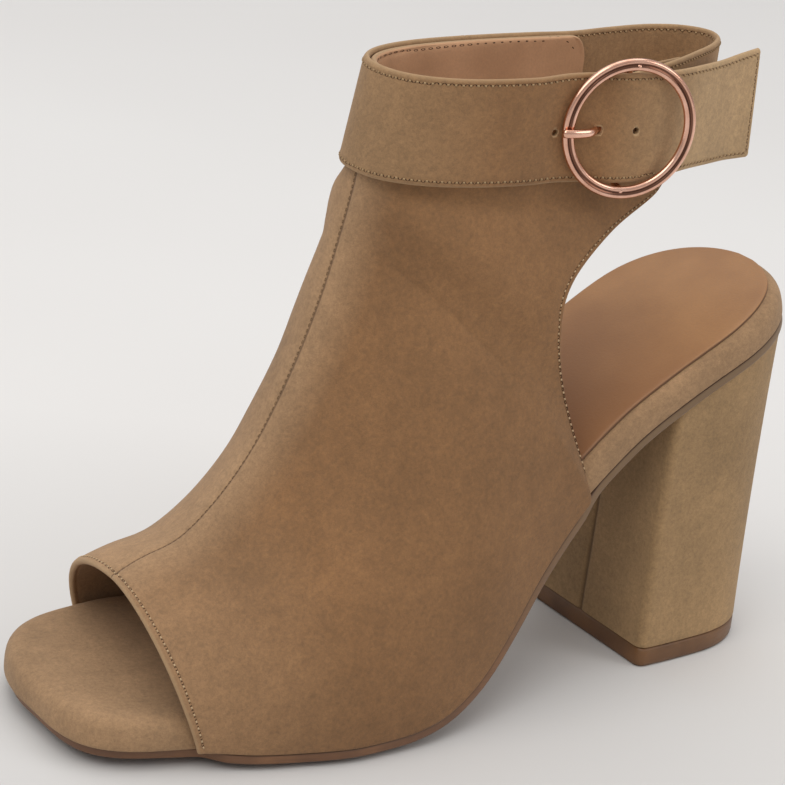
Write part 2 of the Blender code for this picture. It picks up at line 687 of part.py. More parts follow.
def wall_solid(name, grid, thickness, surface):
    """A closed shell: the grid is its outer face, and the wall goes inwards."""
    grid = np.asarray(grid)
    along = np.gradient(grid, axis=0)
    across = np.gradient(grid, axis=1)
    normal = np.cross(along, across)
    normal /= np.maximum(np.linalg.norm(normal, axis=2), 1e-12)[..., None]
    centre = grid.mean(axis=(0, 1))
    if ((grid - centre) * normal).sum() < 0:
        normal = -normal
    inside = grid - normal * thickness
    n, m = grid.shape[:2]
    points = np.concatenate([grid.reshape(-1, 3), inside.reshape(-1, 3)])
    faces = []
    half = n * m
    for i in range(n - 1):
        for j in range(m - 1):
            quad = (i * m + j, i * m + j + 1, (i + 1) * m + j + 1, (i + 1) * m + j)
            faces.append(quad)
            faces.append(tuple(half + q for q in quad[::-1]))
    border = [(0, j) for j in range(m)] + [(i, m - 1) for i in range(1, n)]
    border += [(n - 1, j) for j in range(m - 2, -1, -1)] + [(i, 0) for i in range(n - 2, 0, -1)]
    for (a, b), (c, d) in zip(border, border[1:] + border[:1]):
        faces.append((a * m + b, half + a * m + b, half + c * m + d, c * m + d))
    return mesh_object(name, points, faces, surface)


def upper(surface):
    steps = np.arange(0, (len(SECTIONS) - 1) * 2 + 1) / 2.0
    steps = np.concatenate([steps, CUFF_ROW + np.array([0.68, 0.78, 0.86, 0.92, 0.96])])
    turns = np.linspace(0.0, 1.0, 15)
    grid = []
    for at in np.sort(steps):
        reach = inner_reach(at)
        inner = [upper_point(at, t * reach, 1) for t in turns[::-1]]
        outer = [upper_point(at, t, -1) for t in turns[1:]]
        grid.append(inner + outer)
    return wall_solid("upper", grid, UPPER_WALL, surface)


def plan_normals(line):
    """Horizontal directions square to a line, to its right as it goes."""
    ahead = np.gradient(line[:, :2], axis=0)
    ahead /= np.linalg.norm(ahead, axis=1)[:, None]
    return np.stack([ahead[:, 1], -ahead[:, 0], np.zeros(len(ahead))], axis=1)


def ribbon(name, low, high, thickness, surface):
    """A band between a lower and an upper edge line, with its wall centred on them."""
    square = plan_normals((low + high) / 2)
    rings = []
    half = thickness / 2
    soft = thickness * 0.28
    for k in range(len(low)):
        up = high[k] - low[k]
        up = up / np.linalg.norm(up)
        out = square[k] * half
        ring = [low[k] + out + up * soft]
        ring += [low[k] + (high[k] - low[k]) * h + out for h in (0.33, 0.67)]
        ring += [high[k] + out - up * soft, high[k] + out * 0.45]
        ring += [high[k] - out * 0.45, high[k] - out - up * soft]
        ring += [low[k] + (high[k] - low[k]) * h - out for h in (0.67, 0.33)]
        ring += [low[k] - out + up * soft, low[k] - out * 0.45, low[k] + out * 0.45]
        rings.append(ring)
    return swept(name, rings, surface)


def swept(name, rings, surface):
    """A closed solid through rings of equal length, with flat ends."""
    size = len(rings[0])
    points = [p for ring in rings for p in ring]
    faces = []
    for k in range(len(rings) - 1):
        for i in range(size):
            j = (i + 1) % size
            faces.append((k * size + i, k * size + j, (k + 1) * size + j, (k + 1) * size + i))
    faces.append(tuple(range(size - 1, -1, -1)))
    faces.append(tuple((len(rings) - 1) * size + i for i in range(size)))
    return mesh_object(name, points, faces, surface)


def away_from_upper(low, high, out, sign):
    square = plan_normals((low + high) / 2) * out * sign
    return low + square, high + square


def band_rows(table):
    low = []
    high = []
    for row in table:
        x = float(sole_x(row.length))
        y = row.width * HALF_BALL
        low.append((x, y, row.low * COLLAR_HEIGHT))
        high.append((x, y, row.high * COLLAR_HEIGHT))
    return np.array(low), np.array(high)


def ring_place(along, out, up=0.0):
    """World point from buckle coordinates: along to the back, out from the shoe, up."""
    c, s = math.cos(RING_TURN), math.sin(RING_TURN)
    x = float(sole_x(RING_LENGTH_SHARE)) + along * c - out * s
    y = -RING_WIDTH_SHARE * HALF_BALL - along * s - out * c
    return np.array([x, y, RING_HEIGHT_SHARE * COLLAR_HEIGHT + up])


def ring_rows(table):
    low = [ring_place(row.along + row.slant, row.out, row.low) for row in table]
    high = [ring_place(row.along, row.out, row.high) for row in table]
    return low, high


def cuff_band(surface):
    low_in = [upper_point(CUFF_ROW, t, 1) for t in CUFF_INNER_STEPS]
    low_out = [upper_point(CUFF_ROW, t, -1) for t in CUFF_OUTER_STEPS]
    high_in = [upper_point(CUFF_ROW + 1, t, 1) for t in CUFF_INNER_STEPS]
    high_out = [upper_point(CUFF_ROW + 1, t, -1) for t in CUFF_OUTER_STEPS]
    low, high = away_from_upper(
        np.array(low_in + low_out), np.array(high_in + high_out), BAND_GAP + CUFF_WALL / 2, 1
    )
    tail_low, tail_high = ring_rows(TAIL_PATH)
    low = through(np.concatenate([low, tail_low]), 2)
    high = through(np.concatenate([high, tail_high]), 2)
    made = ribbon("cuff_band", low, high, CUFF_WALL, surface)
    cutter = slot_cutter("cuff_slot", -SLOT_FROM_BAR, SLOT_HALF_LENGTH, *CUFF_SLOT_DEPTHS)
    cut(made, cutter)
    return made


def heel_strap(surface):
    low = np.array([upper_point(CUFF_ROW, t, 1) for t in STRAP_INNER_STEPS])
    high = np.array([upper_point(CUFF_ROW + 1, t, 1) for t in STRAP_INNER_STEPS])
    low, high = away_from_upper(low, high, BAND_GAP + STRAP_WALL / 2, -1)
    path_low, path_high = band_rows(STRAP_PATH)
    fold_low, fold_high = ring_rows(STRAP_END)
    for degrees in (-90, -135, -180, -225, -270):
        angle = math.radians(degrees)
        along = STRAP_WRAP * math.cos(angle)
        out = -BAR_SETBACK + STRAP_WRAP * math.sin(angle)
        fold_low.append(ring_place(along, out, -FOLD_HALF_HEIGHT))
        fold_high.append(ring_place(along, out, FOLD_HALF_HEIGHT))
    for along, out in FOLD_END:
        fold_low.append(ring_place(along, out, -FOLD_HALF_HEIGHT))
        fold_high.append(ring_place(along, out, FOLD_HALF_HEIGHT))
    low = through(np.concatenate([low, path_low, fold_low]), 2)
    high = through(np.concatenate([high, path_high, fold_high]), 2)
    made = ribbon("heel_strap", low, high, STRAP_WALL, surface)
    cutter = slot_cutter("strap_slot", 0.0, STRAP_SLOT_HALF_LENGTH, *STRAP_SLOT_DEPTHS)
    cut(made, cutter)
    return made


def slot_cutter(name, along, half_length, out_low, out_high):
    """A rounded slot for the prong, as a hidden cutter square to the ring."""
    rings = []
    for out in (out_low, out_high):
        ring = []
        for k in range(16):
            angle = 2 * math.pi * k / 16
            flat = abs(math.cos(angle)) ** SLOT_SQUARENESS * math.copysign(1, math.cos(angle))
            tall = abs(math.sin(angle)) ** SLOT_SQUARENESS * math.copysign(1, math.sin(angle))
            up = -PRONG_DROP + SLOT_HALF_HEIGHT * tall
            ring.append(ring_place(along + half_length * flat, out, up))
        rings.append(ring)
    made = swept(name, rings, bpy.data.materials["band_suede"])
    made.hide_render = True
    made.display_type = "WIRE"
    return made


def cut(target, cutter):
    step = target.modifiers.new("slot", "BOOLEAN")
    step.operation = "DIFFERENCE"
    step.solver = "EXACT"
    step.object = cutter


def buckle_ring(surface):
    profile = []
    outer_middle = RING_DIAMETER / 2 - TUBE_RADIUS
    for degrees in range(-125, 126, 50):
        angle = math.radians(degrees)
        profile.append((outer_middle + TUBE_RADIUS * math.cos(angle), TUBE_RADIUS * math.sin(angle)))
    for degrees in range(55, 306, 50):
        angle = math.radians(degrees)
        radius = outer_middle - TUBE_SPACING + TUBE_RADIUS * math.cos(angle)
        profile.append((radius, TUBE_RADIUS * math.sin(angle)))
    turns = 44
    size = len(profile)
    points = []
    for k in range(turns):
        angle = 2 * math.pi * k / turns
        for radius, out in profile:
            points.append(ring_place(radius * math.cos(angle), out, radius * math.sin(angle)))
    faces = []
    for k in range(turns):
        for i in range(size):
            j = (i + 1) % size
            m = (k + 1) % turns
            faces.append((k * size + i, k * size + j, m * size + j, m * size + i))
    made = mesh_object("buckle_ring", points, faces, surface)
    top = [ring_place(0.0, out, BAR_HALF_HEIGHT + up) for out, up in BAR_PATH]
    bottom = [ring_place(0.0, out, -BAR_HALF_HEIGHT - up) for out, up in BAR_PATH[::-1]]
    middle = top + [ring_place(0.0, -BAR_SETBACK)] + bottom
    bar = tube("buckle_bar", middle, BAR_RADIUS, BAR_RADIUS, surface, 8)
    bar.hide_render = True
    bar.display_type = "WIRE"
    step = made.modifiers.new("bar", "BOOLEAN")
    step.operation = "UNION"
    step.solver = "EXACT"
    step.object = bar
    return made


def tube(name, middle, half_in_plane, half_across, surface, count):
    """A rod along points that lie in one plane; across is square to that plane."""
    middle = np.array(middle)
    ahead = np.gradient(middle, axis=0)
    ahead /= np.linalg.norm(ahead, axis=1)[:, None]
    spread_axis = np.linalg.svd(middle - middle.mean(axis=0))[2][2]
    rings = []
    for point, way in zip(middle, ahead):
        other = np.cross(way, spread_axis)
        ring = []
        for k in range(count):
            angle = 2 * math.pi * (k + 0.5) / count
            ring.append(
                point + other * half_in_plane * math.cos(angle) + spread_axis * half_across * math.sin(angle)
            )
        rings.append(ring)
    return swept(name, rings, surface)


def buckle_prong(surface):
    middle = []
    for degrees in range(-190, 91, 35):
        angle = math.radians(degrees)
        along = PRONG_WRAP * math.cos(angle)
        out = -BAR_SETBACK + PRONG_WRAP * math.sin(angle)
        middle.append(ring_place(along, out, -PRONG_DROP))
    knots = [middle[-1]] + [ring_place(along, out, -PRONG_DROP) for along, out in PRONG_PATH]
    middle = np.concatenate([middle[:-1], through(knots, 2)])
    made = tube("buckle_prong", middle, PRONG_HALF_THICKNESS, PRONG_HALF_HEIGHT, surface, 10)
    return made


def build():
    clear_scene()
    suede = material("upper_suede", (0.330, 0.208, 0.118), 0.92)
    band = material("band_suede", (0.340, 0.215, 0.122), 0.92)
    wrap = material("footbed_suede", (0.330, 0.205, 0.115), 0.90)
    cover = material("heel_suede", (0.325, 0.208, 0.118), 0.92)
    sock = material("sock_leather", (0.330, 0.180, 0.095), 0.55)
    sole = material("sole_brown", (0.125, 0.055, 0.025), 0.50)
    tip = material("tip_brown", (0.130, 0.058, 0.027), 0.50)
    metal = material("rose_gold", (0.930, 0.620, 0.480), 0.16, 1.0)
    outsole(sole)
    footbed(wrap)
    sock_lining(sock)
    upper(suede)
    heel(cover)
    heel_tip(tip)
    cuff_band(band)
    heel_strap(band)
    buckle_ring(metal)
    buckle_prong(metal)


build()
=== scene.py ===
"""Looks of a left peep toe sandal with a block heel and a buckled ankle band.

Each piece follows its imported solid: the same sizes, sections and paths in finer steps.
Toe towards -X, heel towards +X, outer side -Y, inner side +Y, up +Z. Lengths are in metres.
"""

import math
from collections import namedtuple

import bmesh
import bpy
import numpy as np
from mathutils import Matrix, Vector
from mathutils.bvhtree import BVHTree


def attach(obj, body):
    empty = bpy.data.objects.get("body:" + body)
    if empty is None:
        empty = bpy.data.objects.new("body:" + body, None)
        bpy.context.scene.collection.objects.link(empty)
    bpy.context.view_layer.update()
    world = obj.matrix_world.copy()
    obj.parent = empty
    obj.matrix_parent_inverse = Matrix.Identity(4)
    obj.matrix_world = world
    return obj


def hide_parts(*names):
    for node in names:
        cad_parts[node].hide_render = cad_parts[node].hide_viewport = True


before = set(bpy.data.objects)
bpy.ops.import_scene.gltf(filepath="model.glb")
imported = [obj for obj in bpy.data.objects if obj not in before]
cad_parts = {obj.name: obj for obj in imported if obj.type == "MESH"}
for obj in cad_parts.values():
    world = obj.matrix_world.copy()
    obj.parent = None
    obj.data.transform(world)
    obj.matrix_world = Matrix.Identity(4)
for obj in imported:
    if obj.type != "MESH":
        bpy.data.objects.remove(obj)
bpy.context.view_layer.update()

# Camera, placed from the outline of the sole in the photograph, and the floor right under it
CAMERA_PLACE = (-0.508229, -0.555291, 0.333637)
CAMERA_YAW = 0.638211
CAMERA_PITCH = 0.354919
CAMERA_ROLL = 0.129217
CAMERA_LENS = 134.10
SENSOR_WIDTH = 36.0
FLOOR_NEAR = (-0.508, -0.555, 0.0)
FLOOR_X = -0.08
FLOOR_Z = -0.00005
FLOOR_SIDES = 48

# Sizes of the sole
SOLE_LENGTH = 0.2150
SOLE_BACK = 0.0216
HALF_BALL = 0.04025
SEAT_HEIGHT = 0.0970
OUTSOLE_EDGE = 0.0026
TREAD_DROP = 0.0023
OUTSOLE_INSET = 0.0003
OUTSOLE_STANDS_OUT = 0.0021
FOOTBED_THICKNESS = 0.0080
SOCK_MARGIN = 0.0026
SOCK_FRONT_SHARE = 0.66
SOCK_FRONT_ROUND = 0.0605
SOCK_ROUNDNESS = 2.4
BACK_ROUND_SHARE = 0.13
TOE_ROUND_SHARE = 0.198
BACK_ROUNDNESS = 2.1
TOE_OUTER_ROUNDNESS = 4.4
TOE_INNER_ROUNDNESS = 2.1
TOE_END_SHARE = 0.999
TOE_TIP_Y = 0.0020
TOE_OUTSOLE_INSET = 0.0015
TOE_INSET_SHARE = 0.80
TOE_INSET_BLEND = 0.12
COVER_BACK_SHARE = 0.325
COVER_FRONT_SHARE = 0.855
COVER_BLEND = 0.02
TREAD_STEP_INSET = 0.0060
TREAD_INSET = 0.0100
TREAD_BACK_SHARE = 0.50
TREAD_BLEND = 0.08
FLAT_BACK_SHARE = 0.64
FLAT_FRONT_SHARE = 0.80

# Sizes of the heel
TREAD_LENGTH = 0.0466
TREAD_WIDTH = 1.3416 * HALF_BALL
BREAST_TOP_X = -0.0240
HEEL_TIP_HEIGHT = 0.0055
HEEL_SIDE_TAPER = 0.0045
HEEL_CORNER = 0.0024
HEEL_TOP_INSET = 0.0013
HEEL_HOLLOW = 0.0007
HEEL_BACK_SHARE = 0.0085
CORNER_STEPS = 0.10
SIDE_STEPS = 0.55
LAST_STEP = 0.997
TREAD_ROUND_START = 0.08
TREAD_ROUND_RUN = 0.581
TREAD_ROUNDNESS = 2.6

# Sizes of the upper and its bands
COLLAR_HEIGHT = 0.1640
UPPER_WALL = 0.0018
CUFF_WALL = 0.0016
STRAP_WALL = 0.0015
GAP = 0.0003
BAND_GAP = 0.0005
FEATHER_GAP = 0.0007
FEATHER_RISE = 0.0005
INNER_CORNER = 0.0062
COLLAR_SPAN = 0.0265
COLLAR_REACH = 0.1400

# Sizes of the buckle
RING_LENGTH_SHARE = 0.3583
RING_WIDTH_SHARE = 0.6745
RING_HEIGHT_SHARE = 0.9293
RING_DIAMETER = 0.0356
RING_TURN = math.radians(14.0)
TUBE_RADIUS = 0.00085
TUBE_SPACING = 0.0014
BAR_RADIUS = 0.0009
BAR_SETBACK = 0.0047
BAR_HALF_HEIGHT = 0.0153
PRONG_HALF_HEIGHT = 0.0011
PRONG_HALF_THICKNESS = 0.0008
PRONG_DROP = 0.0010
PRONG_WRAP = 0.0019
STRAP_WRAP = 0.00195
FOLD_HALF_HEIGHT = 0.0120
SLOT_HALF_HEIGHT = 0.0015
SLOT_FROM_BAR = 0.0083
SLOT_SQUARENESS = 0.6
STRAP_SLOT_HALF_LENGTH = 0.0036
CUFF_SLOT_DEPTHS = (-0.0062, 0.0025)
STRAP_SLOT_DEPTHS = (-0.0090, -0.0005)

# The front seam's groove, then how far the stitch rows lie from an edge and press it in
SEAM_DEPTH = 0.00040
SEAM_WIDTH = 0.00055
UPPER_ROW = 0.00165
BAND_ROW = 0.00155
ROW_DEPTH = 0.00016
ROW_WIDTH = 0.00038
FOLD_RISE = 0.00005

# One kind of stitch row: its pitch, then half sizes of the thread and of the needle hole, which is a dark
# disc of painted shade
Stitch = namedtuple("Stitch", "pitch thread_length thread_width hole_length hole_width")
RIM_STITCH = Stitch(0.00186, 0.00030, 0.00023, 0.00058, 0.00036)
BAND_STITCH = Stitch(0.00186, 0.00034, 0.00028, 0.00064, 0.00042)
COLLAR_STITCH = Stitch(0.00270, 0.0, 0.0, 0.00088, 0.00027)
SEAM_HOLE = Stitch(0.00150, 0.0, 0.0, 0.00046, 0.00020)
HOLE_DEPTH = 0.00027

# Punched holes of the outer band: along and up from the ring's centre, and the part of the
# prong's slot that stays open beside the prong
PIN_RADIUS = 0.00092
PIN_DEPTHS = (-0.012, 0.004)
PIN_PLACES = ((-0.0193, -0.0016), (0.0021, -0.0006))
SEEN_SLOT_SHIFT = 0.0007
SEEN_SLOT_HALF_LENGTH = 0.0012
SEEN_SLOT_HALF_HEIGHT = 0.0011

# Points round each tube of the ring, and those of both that lie in the groove between them, painted dark as
# shade
TUBE_POINTS = 18
SHADED_GROOVE_POINTS = (0, 1, 2, 15, 16, 17, 18, 19, 20, 33, 34, 35)

# Lines of the upper's grid: distances from the seam and from an edge, then how many lie
# between them on each half, and how many steps lie in each span of the section table
SEAM_STATIONS = (0.0, 0.00045, 0.0010, 0.0018, 0.0032)
EDGE_STATIONS = (0.0, 0.0005, 0.0009, 0.0013, 0.0017, 0.0025)
SIDE_STATIONS = 20
INNER_COLUMNS = SIDE_STATIONS + len(SEAM_STATIONS) + len(EDGE_STATIONS)
SPAN_STEPS = (4, 5, 5, 5, 6, 6, 6, 5, 5, 8, 6, 4, 6, 6, 3, 10)
TOE_SPAN = 0.0088
OUTER_REACH = 0.0760
OUTLINE_POINTS = 90
ROW_POINTS = 90

# The upper's wall under the bands and at its rims, and how far the lining stays behind the toe
CUFF_PUSH = 0.00042
SOLE_PRESS = 0.00042
RIM_SPAN = 0.0040
RIM_DROP = 0.0009
RIM_THINNING = 0.45
RIM_BULGE = 0.00035
RIM_TURN = 0.0003
SUEDE_INSIDE = 0.026
FAR_AWAY = 0.02

# Ends and edges of the bands
END_CORNER = 0.0008
START_CORNER = 0.0002
EDGE_THINNING = 0.55
BAND_ENDS = (0.0, 0.0003, 0.0008, 0.0012, 0.0016, 0.0022)
BAND_END_SPAN = 0.0028
BAND_STEPS = 8
FOLD_STEPS = 3 * BAND_STEPS

# Shares of painted shade in the suede, darker and browner where less light falls: the upper's inner side,
# its seam and its toe, then the bands
INNER_SHADE = 0.22
SEAM_SHADE = 0.10
TOE_SHADE = 0.45
CUFF_SHADE = 0.45
TAIL_SHADE = 0.05
STRAP_SHADE = 0.62

# Grid lines across the sole's pieces, and the seam of the heel's breast
SOLE_ACROSS = 8
FOOTBED_ACROSS = 10
BREAST_GROOVE = 0.0005
BREAST_STATIONS = (0.85, 0.60, 0.35, 0.15, 0.06, 0.025, 0.0, -0.025, -0.06, -0.15, -0.35, -0.60, -0.85)

# How far outside a piece its stitch lines start before they are laid on it
SEWING_LIFT = 0.0003
BAND_SEWING_LIFT = 0.0002

# Share of the sole's length from the back, and of the seat's height
SolePoint = namedtuple("SolePoint", "length height")
SOLE_LINE = [
    SolePoint(*row)
    for row in (
        (0, 1), (0.06, 0.9515), (0.12, 0.8907), (0.19, 0.8021), (0.25, 0.7093), (0.33, 0.5526),
        (0.4, 0.3979), (0.46, 0.2392), (0.52, 0.1093), (0.57, 0.0608), (0.62, 0.0443),
        (0.68, 0.0412), (0.74, 0.0412), (0.8, 0.0443), (0.9, 0.0536), (1, 0.0577),
    )
]

# Share of the sole's length, then shares of half the ball's width
PlanPoint = namedtuple("PlanPoint", "length outer inner")
SOLE_PLAN = [
    PlanPoint(*row)
    for row in (
        (0, 0.6932, 0.6957), (0.13, 0.6957, 0.7056), (0.2, 0.6807, 0.6957), (0.27, 0.6559, 0.6708),
        (0.33, 0.6658, 0.641), (0.4, 0.7503, 0.6211), (0.5, 0.9292, 0.6708), (0.6, 1.0335, 0.795),
        (0.68, 1.0509, 0.9068), (0.75, 0.9839, 0.9689), (0.8, 0.9217, 0.9839),
        (0.86, 0.8075, 0.964), (1, 0.7528, 1.0932),
    )
]

# Footbed edge from its underside up: how far in from the outline, and height as a share
EdgePoint = namedtuple("EdgePoint", "inset rise")
FINE_EDGE = [
    EdgePoint(*row)
    for row in (
        (0.0016, 0.0), (0.0004, 0.01), (0.0001, 0.06), (0.0, 0.20), (0.0, 0.52), (0.0003, 0.70),
        (0.0010, 0.85), (0.0021, 0.95), (0.0036, 1.0), (0.0060, 1.0),
    )
]

# One row per section of the upper, from the toe to the collar. Lengths are shares of the
# sole's length, widths of half the ball's width, heights of the collar's height. An end
# with no width of its own lies on the sole. Handles are measured from the seam and the end.
End = namedtuple("End", "length width height forward out up")
Handle = namedtuple("Handle", "forward out up")
Section = namedtuple("Section", "name seam_length seam_height outer_top inner_top outer inner")
SECTIONS = (
    Section("toe_rim", 0.907, 0.2335,
            Handle(-0.007, 0.3975, 0.0061), Handle(-0.0009, 0.4323, 0.0037),
            End(0.8665, None, None, -0.0372, 0.0373, 0.122),
            End(0.833, None, None, -0.0302, 0.0323, 0.1183)),
    Section("toe_box", 0.8712, 0.2561,
            Handle(0.0023, 0.4472, 0), Handle(0.0023, 0.4422, 0),
            End(0.8237, None, None, -0.0209, 0.0621, 0.1372),
            End(0.8005, None, None, -0.0209, 0.0422, 0.1293)),
    Section("vamp_low", 0.8214, 0.2805,
            Handle(0.0093, 0.4969, -0.003), Handle(0.0047, 0.4373, -0.0085),
            End(0.7679, None, None, -0.014, 0.087, 0.1524),
            End(0.754, None, None, -0.014, 0.0571, 0.15)),
    Section("vamp", 0.7758, 0.3366,
            Handle(0.014, 0.4845, -0.0091), Handle(0.0009, 0.4224, -0.0079),
            End(0.7098, None, None, -0.0186, 0.0994, 0.1829),
            End(0.7028, None, None, -0.0163, 0.0646, 0.1848)),
    Section("ball", 0.7377, 0.4073,
            Handle(0.0186, 0.4596, -0.0122), Handle(-0.0047, 0.4099, 0),
            End(0.647, None, None, -0.0279, 0.1118, 0.2256),
            End(0.647, None, None, -0.0279, 0.087, 0.2256)),
    Section("instep_1", 0.7107, 0.4787,
            Handle(0.0233, 0.4472, -0.0152), Handle(-0.0177, 0.4174, 0.0061),
            End(0.5795, None, None, -0.0465, 0.1242, 0.2744),
            End(0.5842, None, None, -0.0465, 0.1118, 0.2744)),
    Section("instep_2", 0.6874, 0.5579,
            Handle(0.0256, 0.4348, -0.0152), Handle(-0.027, 0.4224, 0.0061),
            End(0.5098, None, None, -0.0698, 0.1615, 0.3171),
            End(0.5144, None, None, -0.0698, 0.1491, 0.3171)),
    Section("instep_3", 0.6688, 0.6341,
            Handle(0.0256, 0.4224, -0.0122), Handle(-0.0298, 0.4273, 0.0061),
            End(0.4423, None, None, -0.0977, 0.1988, 0.3415),
            End(0.447, None, None, -0.0977, 0.1863, 0.3415)),
    Section("ankle_1", 0.6581, 0.6921,
            Handle(0.0209, 0.4224, -0.0091), Handle(-0.0307, 0.4273, 0.003),
            End(0.3842, None, None, -0.1209, 0.1739, 0.3171),
            End(0.3865, None, None, -0.1209, 0.1615, 0.3171)),
    Section("waist", 0.6512, 0.7378,
            Handle(0.014, 0.4348, -0.0061), Handle(-0.0288, 0.4323, 0.003),
            End(0.334, None, None, -0.1442, 0.0994, 0.2683),
            End(0.3353, None, None, -0.1442, 0.0745, 0.2683)),
    Section("back_low", 0.6465, 0.7683,
            Handle(0.0093, 0.4596, -0.003), Handle(-0.027, 0.4422, 0.0018),
            End(0.386, 0.646, 0.497, -0.1302, 0.0621, 0.1585),
            End(0.386, 0.6335, 0.497, -0.1302, 0.0248, 0.1585)),
    Section("back_waist", 0.6437, 0.7896,
            Handle(0.0037, 0.477, 0), Handle(-0.0242, 0.4472, 0),
            End(0.4079, 0.646, 0.614, -0.1256, 0.0621, 0.0915),
            End(0.4079, 0.6211, 0.614, -0.1209, 0.0124, 0.0915)),
    Section("back_high", 0.6419, 0.8061,
            Handle(0.0009, 0.4919, 0), Handle(-0.0214, 0.4472, 0),
            End(0.3963, 0.6161, 0.686, -0.1349, 0.0745, 0.061),
            End(0.3963, 0.6087, 0.686, -0.1256, 0.0199, 0.061)),
    Section("back_top", 0.6409, 0.8183,
            Handle(-0.0023, 0.5068, 0.0012), Handle(-0.0177, 0.4472, 0),
            End(0.3302, 0.5019, 0.7537, -0.1674, 0.1615, 0.0366),
            End(0.347, 0.5913, 0.7439, -0.1488, 0.0248, 0.0366)),
    Section("under_cuff", 0.6405, 0.8293,
            Handle(-0.0047, 0.5267, 0.0018), Handle(-0.0121, 0.4373, 0),
            End(0.2391, 0.313, 0.7951, -0.2093, 0.323, 0.0183),
            End(0.2958, 0.5764, 0.7896, -0.186, 0.0298, 0.0183)),
    Section("cuff_line", 0.64, 0.8384,
            Handle(-0.007, 0.5466, 0.0018), Handle(-0.0037, 0.4273, 0),
            End(0.2167, 0.2335, 0.8354, -0.2326, 0.4348, 0.0061),
            End(0.254, 0.554, 0.8293, -0.2233, 0.0373, 0.0061)),
    Section("collar", 0.626, 1.0012,
            Handle(-0.007, 0.559, 0), Handle(0.0093, 0.3851, 0),
            End(0.226, 0.2435, 1.0079, -0.2279, 0.4273, 0.0012),
            End(0.254, 0.559, 0.9927, -0.2419, 0.0075, 0.003)),
)

# Middle of the heel strap where it leaves the upper. Widths are signed, inner side positive;
# low and high are the two edges.
BandPoint = namedtuple("BandPoint", "name length width low high")
STRAP_PATH = (
    BandPoint("inner_side", 0.2121, 0.6112, 0.8293, 0.9951),
    BandPoint("inner_back", 0.147, 0.6112, 0.8317, 0.9976),
    BandPoint("back_corner", 0.106, 0.5217, 0.8341, 1),
    BandPoint("back", 0.0912, 0.3627, 0.8366, 1.0024),
    BandPoint("back_outer", 0.1033, 0.1839, 0.839, 1.0049),
    BandPoint("outer_back", 0.1423, -0.0199, 0.8415, 1.0079),
    BandPoint("outer_side", 0.1981, -0.2137, 0.8439, 1.011),
)

# Middle of a band near the buckle, measured from the ring's centre: along to the back, out
# from the ring's plane, and up to the two edges. The lower edge can lie further along by a
# slant. First the heel strap, up to its fold.
RingPoint = namedtuple("RingPoint", "name along out low high slant", defaults=(0.0,))
STRAP_END = (
    RingPoint("under_tail", 0.0188, -0.0170, -0.0135, 0.0135),
    RingPoint("near_bar", 0.0090, -0.0108, -0.0128, 0.0128),
)

# Then the outer band, from the ring's front rim to its free end
TAIL_PATH = (
    RingPoint("left_rim", -0.0168, -0.0022, -0.0146, 0.0130),
    RingPoint("rise", -0.0092, -0.0024, -0.0144, 0.0134),
    RingPoint("bar_crest", -0.0010, -0.0010, -0.0141, 0.0138),
    RingPoint("past_bar", 0.0074, -0.0024, -0.0137, 0.0140),
    RingPoint("right_rim", 0.0155, -0.0056, -0.0130, 0.0141),
    RingPoint("tail_start", 0.0223, -0.0102, -0.0131, 0.0139),
    RingPoint("tail_mid", 0.0316, -0.0173, -0.0139, 0.0135),
    RingPoint("tail_far", 0.0395, -0.0231, -0.0145, 0.0138),
    RingPoint("tail_end", 0.0474, -0.0281, -0.0150, 0.0143, 0.0015),
)

# How far round each half of the collar the bands are measured from the upper. The two bands
# meet end to end on the inner side.
CUFF_INNER_STEPS = (0.7125, 0.56, 0.43, 0.32, 0.22, 0.12)
CUFF_OUTER_STEPS = (0.0, 0.12, 0.22, 0.32, 0.42, 0.51, 0.59)
STRAP_INNER_STEPS = (0.7075, 0.81, 0.90, 0.98)

# The strap's end past its fold: along the buckle and out from the ring's plane
FOLD_END = ((0.0035, -0.0034), (0.0070, -0.0043))

# Prong from the top of its loop to its tip: along the buckle and out from the ring's plane
PRONG_PATH = (
    (-0.0030, -0.0032),
    (-0.0057, -0.0036),
    (-0.0075, -0.0027),
    (-0.0087, -0.0010),
    (-0.0104, 0.0006),
    (-0.0127, 0.0014),
    (-0.0152, 0.0019),
    (-0.0177, 0.0020),
)

# The bar behind the ring, from its top end to its middle: out from the ring's plane, and how
# far above or below the half height
BAR_PATH = (
    (0.0, 0.0004),
    (-0.0018, 0.0),
    (-0.0036, -0.0003),
    (-BAR_SETBACK, -0.0016),
)

# Soft folds of the upper, from one place to another: each place is a section and how far
# round it. A positive depth is a trough and a negative one a ridge.
Fold = namedtuple("Fold", "name side start end width depth")
UPPER_FOLDS = (
    Fold("waist_trough", -1, (12.6, 0.88), (10.0, 0.60), 0.0050, 0.00040),
    Fold("waist_ridge", -1, (11.2, 0.93), (8.8, 0.74), 0.0060, -0.00035),
    Fold("back_roll", -1, (8.6, 0.93), (6.4, 0.88), 0.0060, -0.00040),
    Fold("instep_trough", -1, (6.0, 0.16), (5.2, 0.62), 0.0080, 0.00035),
    Fold("ball_ridge", -1, (4.4, 0.30), (3.6, 0.75), 0.0070, -0.00030),
    Fold("vamp_hollow", -1, (2.2, 0.22), (1.6, 0.60), 0.0070, 0.00030),
    Fold("instep_trough_inner", 1, (6.2, 0.20), (5.4, 0.70), 0.0080, 0.00040),
    Fold("waist_trough_inner", 1, (12.4, 0.88), (10.0, 0.60), 0.0055, 0.00040),
    Fold("under_cuff", -1, (14.35, 0.05), (14.2, 0.70), 0.0030, 0.00030),
    Fold("under_cuff_inner", 1, (14.35, 0.05), (14.2, 0.70), 0.0030, 0.00030),
)

